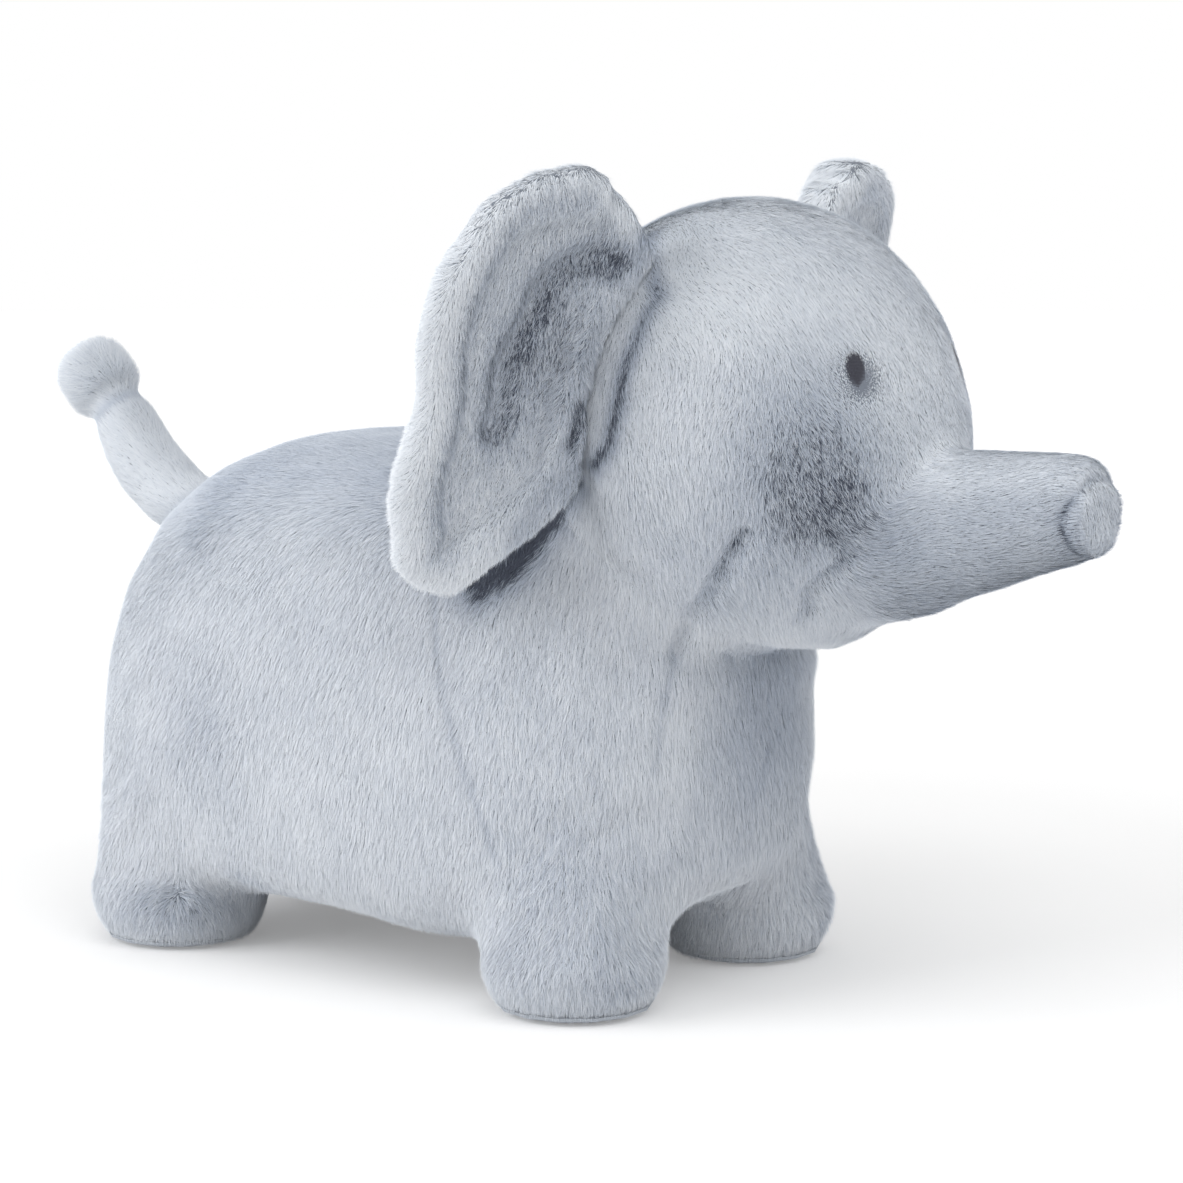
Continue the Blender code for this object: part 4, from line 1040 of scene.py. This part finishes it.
# %% Where the head's pile is dark, ruffled or short
EYE_SHIFT = Vector((0.0015, 0, 0))
EYE_PAD = (0.0070, 0.0054, 0.0112)
eye_centres = [np.array((low + high) / 2 - EYE_SHIFT) for low, high in map(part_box, ("eye_left", "eye_right"))]
brow = blob(places, (0.236, 0.0, 0.302), (0.022, 0.040, 0.030))
from_eye = np.min([np.linalg.norm(places - centre, axis=1) for centre in eye_centres], axis=0)
round_eye = np.exp(-(from_eye / 0.0150) ** 4)
# Painted shade: the pile along the neck and mouth creases is darkened, as shade in the groove.
painted_crease_shade = closeness(places, CREASES, CREASE_WIDTH)
near_crease = closeness(places, CREASES, NEAR_CREASE)
# Painted shadow: the pile is darkened under each ear lobe and along the ear's root, where the ear shades the
# head.
painted_ear_shadow = np.maximum(closeness(places, EAR_GAPS, 0.0100), 0.85 * closeness(places, EAR_ROOTS, 0.0055))
cheek = np.clip(blob(places, (0.205, -0.068, 0.277), 0.034)
                + 0.55 * blob(places, (0.212, -0.056, 0.256), 0.024), 0, 1)
near_crown = blob(places, head_middle + np.array([-0.052, -0.024, 0.088]), 0.036)
# Painted shade under the jaw, on pile that is also a little ruffled.
jaw = blob(places, (0.175, -0.070, 0.222), (0.045, 0.05, 0.034))
tip_share = closeness(places, TIP_SEAM, 0.0022)
# The trunk's sides, and a little the whole trunk, are darkened: painted shade, partly the way the trunk's pile
# lies.
trunk_side = on_trunk[:, 0] * fall(normals[:, 2], -0.2, 0.6)
head_clouds = cloudy(places, 25.0, 7) * 0.10 + cloudy(places, 70.0, 8) * 0.07
forehead = step(normals[:, 0], 0.25, 0.70) * (1 - on_trunk[:, 0])
# Painted light: the top of the head, the brow, the crown and the trunk's end are painted paler.
store(ground, "tone", 0.80 + head_clouds - 0.46 * cheek - 0.85 * painted_crease_shade - 0.45 * tip_share
      - 0.95 * painted_ear_shadow - 0.12 * forehead - 0.20 * trunk_side - 0.18 * on_trunk[:, 0] - 0.38 * jaw
      + 0.12 * head_top + 0.10 * brow + 0.15 * on_cap[:, 0] + 0.30 * near_crown)
store(ground, "lift", 0.04 + 0.18 * cheek + 0.05 * cloudy(places, 50.0, 9) - 0.02 * on_trunk[:, 0]
      - 0.12 * head_top - 0.12 * brow - 0.08 * near_crown)
store(ground, "rough", 1.0 + 1.2 * cheek + 0.6 * jaw + 0.4 * cloudy(places, 20.0, 17))
store(ground, "length", 0.80 - 0.52 * round_eye - 0.45 * near_crease - 0.30 * tip_share - 0.25 * cheek
      - 0.35 * painted_ear_shadow - 0.08 * on_trunk[:, 0] - 0.20 * on_cap[:, 0]
      + 0.08 * cloudy(places, 70.0, 10))

# %% Grow the body's pile in eight panels
SOLE_HEIGHT = 0.0055

ground = grounds["body"]
places, normals = places_of(ground), normals_of(ground)
height = places[:, 2]
in_slot = ((np.abs(places[:, 1]) < 0.008) & (places[:, 0] > tape_low.x)
           & (places[:, 0] < tape_high.x) & (height < 0.05))
bare_sole = (height < SOLE_HEIGHT) & (normals[:, 2] < -0.7)
grows = np.where(in_slot | bare_sole, 0.0, 1.0)
grows = grows * np.where((normals[:, 2] < -0.75) & (height < 0.10), 0.5, 1.0)
rear, right, low = places[:, 0] < -0.055, places[:, 1] < 0, height < 0.118
body_piles = []
for number in range(8):
    panel = ((rear == bool(number & 1)) & (right == bool(number & 2)) & (low == bool(number & 4))) * grows
    body_piles.append(grown(f"pile_body_{number + 1}", ground, panel, 11 + number))

# %% Grow the head's pile in four panels
ground = grounds["head"]
places = places_of(ground)
eye_pad = np.min([np.linalg.norm((places - centre) / EYE_PAD, axis=1)
                  for centre in eye_centres], axis=0)
grows = step(eye_pad, 0.9, 1.05)
forward, right = places[:, 0] > head_middle[0] + 0.034, places[:, 1] < 0
head_piles = []
for number in range(4):
    panel = ((forward == bool(number & 1)) & (right == bool(number & 2))) * grows
    head_piles.append(grown(f"pile_head_{number + 1}", ground, panel, 51 + number))
for ground in grounds.values():
    bpy.data.objects.remove(ground)


# %% [markdown]
# ### Ears and tail
#
# An ear is a flat stuffed pad. Its rim is pale pile that lies back round the edge, painted paler where
# the light catches it, and the inner panel is darker, partly from painted shade and partly from its
# brushed pile, with a fold that runs round the hollow like the fold of a real ear; painted shade also
# darkens the fold, the hollow, the lobe's underside and the ear's root.

# %% Pile of the ears
ear_piles = []
for side, ear in ear_skins.items():
    lines = {name: mirrored(line, side) for name, line in laid_lines.items()}
    front = mirror_of(EAR_FRONT, side)
    ground = ground_of(ear)
    places, normals = places_of(ground), normals_of(ground)
    facing = step(normals @ front, 0.2, 0.6)
    reach = (places - mirror_of(EAR_MIDDLE, side)) @ mirror_of(ACROSS_EAR, side)
    rim_side = (1 - step(reach, -0.055, -0.020)) * (1 - step(places[:, 2], 0.365, 0.385))
    rim_gap = from_rim(ground, front)
    # The rim band's pile lies back round the edge, and its tone is painted paler where the light catches the
    # rim; the crest is painted paler too.
    outside = (1 - step(rim_gap, 0.006, 0.019)) * (0.25 + 0.75 * rim_side)
    crest = (1 - step(rim_gap, 0.005, 0.014)) * (1 - rim_side) * step(places[:, 2], 0.355, 0.375)
    hanging = mirror_of(np.array([-0.25, -0.30, -1.0]), side)
    round_rim = np.array([0.0, 0.0, -0.35]) - front
    comb(ground, hanging * (1 - outside[:, None]) + round_rim * outside[:, None], 0.28, 61)
    # Painted shade: the pile is darkened in the fold, the second fold, the hollow, under the lobe and along the
    # ear's root; the inner panel is darker partly from painted shade, partly from its brushed pile.
    fold = closeness(places, [lines["fold"]], 0.0088) * facing
    second = closeness(places, [lines["second"]], 0.0042) * facing
    root = closeness(places, [lines["root"]], 0.0065)
    under = closeness(places, [lines["under"]], 0.0100) * facing
    hollow = facing * ball(places, mirror_of(EAR_HOLLOW, side), (0.05, 0.028, 0.044))
    band = closeness(places, [lines["rim"]], 0.0070) * facing
    clouds = cloudy(places, 30.0, 12) * 0.06 + cloudy(places, 80.0, 13) * 0.08
    inner = facing * (1 - outside)
    store(ground, "tone", 0.82 + clouds * (1 - outside) - 0.10 * inner - 0.42 * hollow - 0.95 * fold
          - 0.75 * second - 1.00 * root - 0.26 * band - 0.40 * under + 0.13 * outside
          + 0.22 * crest)
    store(ground, "lift", 0.05 + 0.10 * hollow + 0.12 * band - 0.12 * crest + 0.05 * cloudy(places, 50.0, 14))
    store(ground, "rough", 0.8 + 1.0 * inner + 0.8 * hollow + 0.6 * band - 0.6 * crest)
    store(ground, "length", 0.80 - 0.26 * inner - 0.24 * fold - 0.25 * root + 0.05 * crest)
    ear_piles.append(grown("pile_ear_" + side, ground, np.ones(len(places)), 71 + len(ear_piles)))
    bpy.data.objects.remove(ground)

# %% Pile of the tail
ground = ground_of(tail_skin)
places = places_of(ground)
reach = (places - np.array(tail_root)) @ tail_way
on_tuft = step(reach, 0.092, 0.106)
comb(ground, np.tile(tail_way * 0.9 + np.array([0, 0, -0.35]), (len(places), 1)), 0.4, 81)
tuft_seam = bell(reach, TUFT_SEAM, 0.004)
root_seam = bell(reach, 0.010, 0.008)
store(ground, "tone", 0.88 + cloudy(places, 40.0, 15) * 0.08 - 0.45 * tuft_seam - 0.40 * root_seam)
store(ground, "lift", 0.04 + 0.20 * on_tuft)
store(ground, "rough", 0.8 + 0.8 * on_tuft)
store(ground, "length", 0.80 + 0.05 * on_tuft - 0.2 * tuft_seam)
tail_pile = grown("pile_tail", ground, np.ones(len(places)), 91)
bpy.data.objects.remove(ground)
bpy.data.objects.remove(hair)
bpy.data.objects.remove(skin)


# %% [markdown]
# ## Finishes
#
# Every other material is procedural and reads the object's own coordinates, so it bakes. The backing
# cloth under the pile is knitted and darker than the hair tips. The hidden pieces get the finish of
# the real thing too: welded vinyl, polyester wadding, woven tape, cast zipper metal and soft plastic.

# %% Cloth under the pile
def backing_finish():
    """Knitted backing, seen only between the hairs."""
    finish = Finish("pile_backing", Roughness=0.95, Sheen_Weight=0.3)
    soft = finish.speckle(45.0, 4.0)
    grain = finish.speckle(900.0, 2.0)
    tone = finish.mix(soft, (0.15, 0.17, 0.21), (0.24, 0.27, 0.32))
    return finish.give(Base_Color=finish.mix(grain * 0.6, tone, (0.11, 0.13, 0.16)),
                       Normal=finish.bump(grain, 0.6, 0.0008))


# %% Woven cloth for the soles and the zipper tape
def woven_finish(name, dark, pale, threads, relief):
    """Threads in two directions, over and under."""
    finish = Finish(name, Roughness=0.88, Sheen_Weight=0.2)
    place = finish.place()
    across = finish.node("ShaderNodeSeparateXYZ", None, {0: place}, "X")
    down = finish.node("ShaderNodeSeparateXYZ", None, {0: place}, "Y")
    warp = (across * threads).math("SINE", across * threads)
    weft = (down * threads).math("SINE", down * threads)
    weave = (warp * weft) * 0.5 + 0.5
    wear = finish.speckle(60.0, 3.0, place)
    colour = finish.mix(weave * 0.8 + wear * 0.2, dark, pale)
    return finish.give(Base_Color=colour, Roughness=0.80 + 0.15 * weave,
                       Normal=finish.bump(weave, 0.7, relief))


# %% Wadding, vinyl, metal, plastic and thread
def wadding_finish():
    finish = Finish("polyester_wadding", Roughness=1.0, Sheen_Weight=0.5)
    tufts = finish.speckle(120.0, 6.0)
    return finish.give(Base_Color=finish.mix(tufts, (0.72, 0.72, 0.70), (0.93, 0.93, 0.91)),
                       Normal=finish.bump(tufts, 1.0, 0.004))


def vinyl_finish():
    finish = Finish("welded_vinyl", Coat_Weight=0.15, Coat_Roughness=0.3)
    skin = finish.speckle(25.0, 3.0)
    grain = finish.speckle(700.0, 2.0)
    return finish.give(Base_Color=finish.mix(skin, (0.46, 0.53, 0.61), (0.60, 0.67, 0.75)),
                       Roughness=0.28 + 0.22 * grain, Normal=finish.bump(grain, 0.25, 0.0006))


def metal_finish():
    finish = Finish("cast_zipper_metal", Metallic=1.0)
    wear = finish.speckle(420.0, 4.0)
    return finish.give(Base_Color=finish.mix(wear, (0.50, 0.50, 0.49), (0.72, 0.72, 0.70)),
                       Roughness=0.25 + 0.30 * wear, Normal=finish.bump(wear, 0.2, 0.0003))


def plastic_finish():
    finish = Finish("soft_valve_plastic")
    haze = finish.speckle(300.0, 3.0)
    return finish.give(Base_Color=finish.mix(haze, (0.74, 0.76, 0.78), (0.84, 0.86, 0.88)),
                       Roughness=0.35 + 0.2 * haze, Normal=finish.bump(haze, 0.15, 0.0004))


def thread_finish():
    finish = Finish("embroidery_thread", Roughness=0.6, Sheen_Weight=0.15)
    finish.shader.inputs["Specular IOR Level"].default_value = 0.4
    place = finish.place()
    twist = finish.speckle(1500.0, 2.0, place)
    return finish.give(Base_Color=finish.mix(twist, (0.016, 0.017, 0.028), (0.048, 0.050, 0.072)),
                       Normal=finish.bump(twist, 0.5, 0.0003))


backing_material = backing_finish()
sole_material = woven_finish("sole_cloth_weave", (0.42, 0.46, 0.52), (0.60, 0.65, 0.71), 5200.0, 0.0006)
tape_material = woven_finish("zipper_tape_weave", (0.22, 0.26, 0.32), (0.38, 0.43, 0.50), 7800.0, 0.0004)
wadding_material = wadding_finish()
vinyl_material = vinyl_finish()
metal_material = metal_finish()
plastic_material = plastic_finish()
thread_material = thread_finish()
print("finishes made:", len(bpy.data.materials))


# %% [markdown]
# ## Wadding
#
# Polyester wadding fills the head, the trunk, the ears and the tail. It takes the form of the cloth
# round it, so each wad is a copy of its skin, closed where the skin is open and a little smaller.

# %% The wads inside the skins
def wadding_in(piece, name, depth):
    """A closed copy of a skin, smaller by a depth."""
    wad = copy_of(piece, name)
    sink(wad, depth)
    modify(wad, "SMOOTH", factor=0.5, iterations=16)
    modify(wad, "DECIMATE", ratio=0.5)
    bpy.ops.object.mode_set(mode="EDIT")
    bpy.ops.mesh.select_all(action="SELECT")
    bpy.ops.mesh.fill_holes(sides=0)
    bpy.ops.mesh.normals_make_consistent(inside=False)
    bpy.ops.object.mode_set(mode="OBJECT")
    wad.data.materials.clear()
    wad.data.materials.append(wadding_material)
    print(name, len(wad.data.polygons), "faces")
    return wad


ear_wads = [wadding_in(ear, "wadding_ear_" + side, 0.0030) for side, ear in ear_skins.items()]
head_wad = wadding_in(head_skin, "wadding_head_and_trunk", 0.0035)
tail_wad = wadding_in(tail_skin, "wadding_tail", 0.0025)

# %% [markdown]
# ## Embroidered eyes
#
# Each eye is a small oval of satin stitch: dark threads laid side by side over a little padding. One
# stitch is modelled as a flat arch and copied down the oval, shorter towards its ends.

# %% Eyes
EYE_WIDTH, EYE_HEIGHT = 0.0118, 0.0222
STITCHES = 34


def model_stitch():
    """One thread of satin stitch, an arch 1 unit wide that lies across the oval."""
    bpy.ops.mesh.primitive_cylinder_add(vertices=6, radius=0.5, depth=1, rotation=(0, math.pi / 2, 0),
                                        end_fill_type="NGON")
    stitch = bpy.context.object
    bpy.ops.object.transform_apply(location=False, rotation=True, scale=False)
    bpy.ops.object.mode_set(mode="EDIT")
    bpy.ops.mesh.select_all(action="SELECT")
    for x in (-0.32, 0.0, 0.32):
        bpy.ops.mesh.select_all(action="SELECT")
        bpy.ops.mesh.bisect(plane_co=(x, 0, 0), plane_no=(1, 0, 0))
    bpy.ops.object.mode_set(mode="OBJECT")
    return stitch


def embroidered_eye(name, node):
    """Stitches over the oval of one CAD eye, bent to the head."""
    low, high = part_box(node)
    centre = (low + high) / 2 - EYE_SHIFT
    away = (centre - Vector(head_middle)).normalized()
    pieces = []
    pattern = model_stitch()
    shape = places_of(pattern)
    for number in range(STITCHES):
        level = (number + 0.5) / STITCHES * 2 - 1
        width = EYE_WIDTH * math.sqrt(max(0.0, 1 - level * level)) + 0.0008
        only(pattern)
        bpy.ops.object.duplicate()
        stitch = bpy.context.object
        bent = shape.copy()
        swell = 0.0006 * (1 - (2 * bent[:, 0]) ** 2) * math.sqrt(max(0.0, 1 - level * level))
        bent[:, 0] *= width
        bent[:, 1] *= EYE_HEIGHT / STITCHES * 1.15
        bent[:, 2] = bent[:, 2] * 0.0006 + swell - (bent[:, 0] ** 2 + (level * EYE_HEIGHT / 2) ** 2) / 0.19
        bent[:, 1] += level * EYE_HEIGHT / 2
        put_places(stitch, bent)
        pieces.append(stitch)
    only(*pieces)
    bpy.ops.object.join()
    eye = bpy.context.object
    bpy.data.objects.remove(pattern)
    up = Vector((0, 0, 1)) - away * away.z
    side = up.cross(away).normalized()
    turn = Matrix((side, up.normalized(), away)).transposed().to_4x4()
    eye.data.transform(Matrix.Translation(centre + away * 0.0014) @ turn)
    eye.name = name
    eye.data.materials.clear()
    eye.data.materials.append(thread_material)
    bpy.ops.object.shade_smooth()
    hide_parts(node)
    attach(eye, "torso")
    print(name, len(eye.data.polygons), "faces")


embroidered_eye("embroidered_eye_left", "eye_left")
embroidered_eye("embroidered_eye_right", "eye_right")


# %% [markdown]
# ## Zipper slot and soles
#
# Under the belly the skin is cut open along the zipper, and under each foot the fur ends at the sole's
# edge, so the CAD zipper and soles show there.

# %% Cut the body skin for the zipper and the soles
places, normals = places_of(body_skin), normals_of(body_skin)
height = places[:, 2]
in_slot = ((np.abs(places[:, 1]) < 0.0065) & (places[:, 0] > tape_low.x + 0.001)
           & (places[:, 0] < tape_high.x - 0.001) & (height < 0.05))
under_foot = (height < 0.0056) & (normals[:, 2] < -0.7)
choose(body_skin, in_slot | under_foot)
bpy.ops.mesh.delete(type="VERT")
bpy.ops.object.mode_set(mode="OBJECT")
print("body skin after the cuts", len(body_skin.data.vertices), "vertices")

# %% [markdown]
# ## Bake and hide
#
# Every skin, pile and wad has its place baked into its mesh, the skins get the backing cloth, and
# the CAD covers and fills that they stand in for are hidden.

# %% The skins and piles baked in place
nod_end = trunk_root + Vector((0.036, 0, -0.027))
tail_line = Vector(tail_way)
for piece in (body_skin, *body_piles):
    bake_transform(piece)
for piece in (head_skin, *head_piles):
    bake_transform(piece)
for piece in (tail_skin, tail_pile):
    tail_root - tail_line * 0.002
    tail_root + tail_line * 0.022
    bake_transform(piece)
for (side, ear), pile, wad in zip(ear_skins.items(), ear_piles, ear_wads):
    outward = -1 if side == "right" else 1
    start, end = (0.122, outward * 0.084, 0.30), (0.116, outward * 0.102, 0.30)
    for piece in (ear, pile, wad):
        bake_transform(piece)
    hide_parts("ear_fill_" + side)
plush_skins = (body_skin, head_skin, tail_skin, *ear_skins.values())

for plush in plush_skins:
    plush.data.materials.clear()
    plush.data.materials.append(backing_material)
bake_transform(head_wad)
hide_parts("head_fill", "trunk_fill")
tail_root - tail_line * 0.002
tail_root + tail_line * 0.022
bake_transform(tail_wad)
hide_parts("tail_fill")
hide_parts("body_cover", *["leg_cover_" + corner for corner in CORNERS])
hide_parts("head_cover", "trunk_cover", "trunk_tip")
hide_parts("tail_cover", "tail_tuft")
for side, ear in ear_skins.items():
    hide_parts("ear_back_" + side, "ear_front_" + side)

# %% A copy of the bladder in welded vinyl, in place of the CAD one
soft_bladder = joined_copy("soft_bladder", "bladder")
soft_bladder.data.materials.append(vinyl_material)
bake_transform(soft_bladder)
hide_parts("bladder")
print("soft bladder", len(soft_bladder.data.polygons), "faces")

# %% Finishes of the CAD pieces that stay
KEPT = {"sole_": sole_material, "valve_": plastic_material,
        "zipper_tape": tape_material, "zipper_front": metal_material, "zipper_rear": metal_material,
        "zipper_slider": metal_material, "zipper_pull": metal_material}
for name, node in frame["nodes"].items():
    material = next((kept for start, kept in KEPT.items() if name.startswith(start)), None)
    if material:
        node.data.materials.clear()
        node.data.materials.append(material)
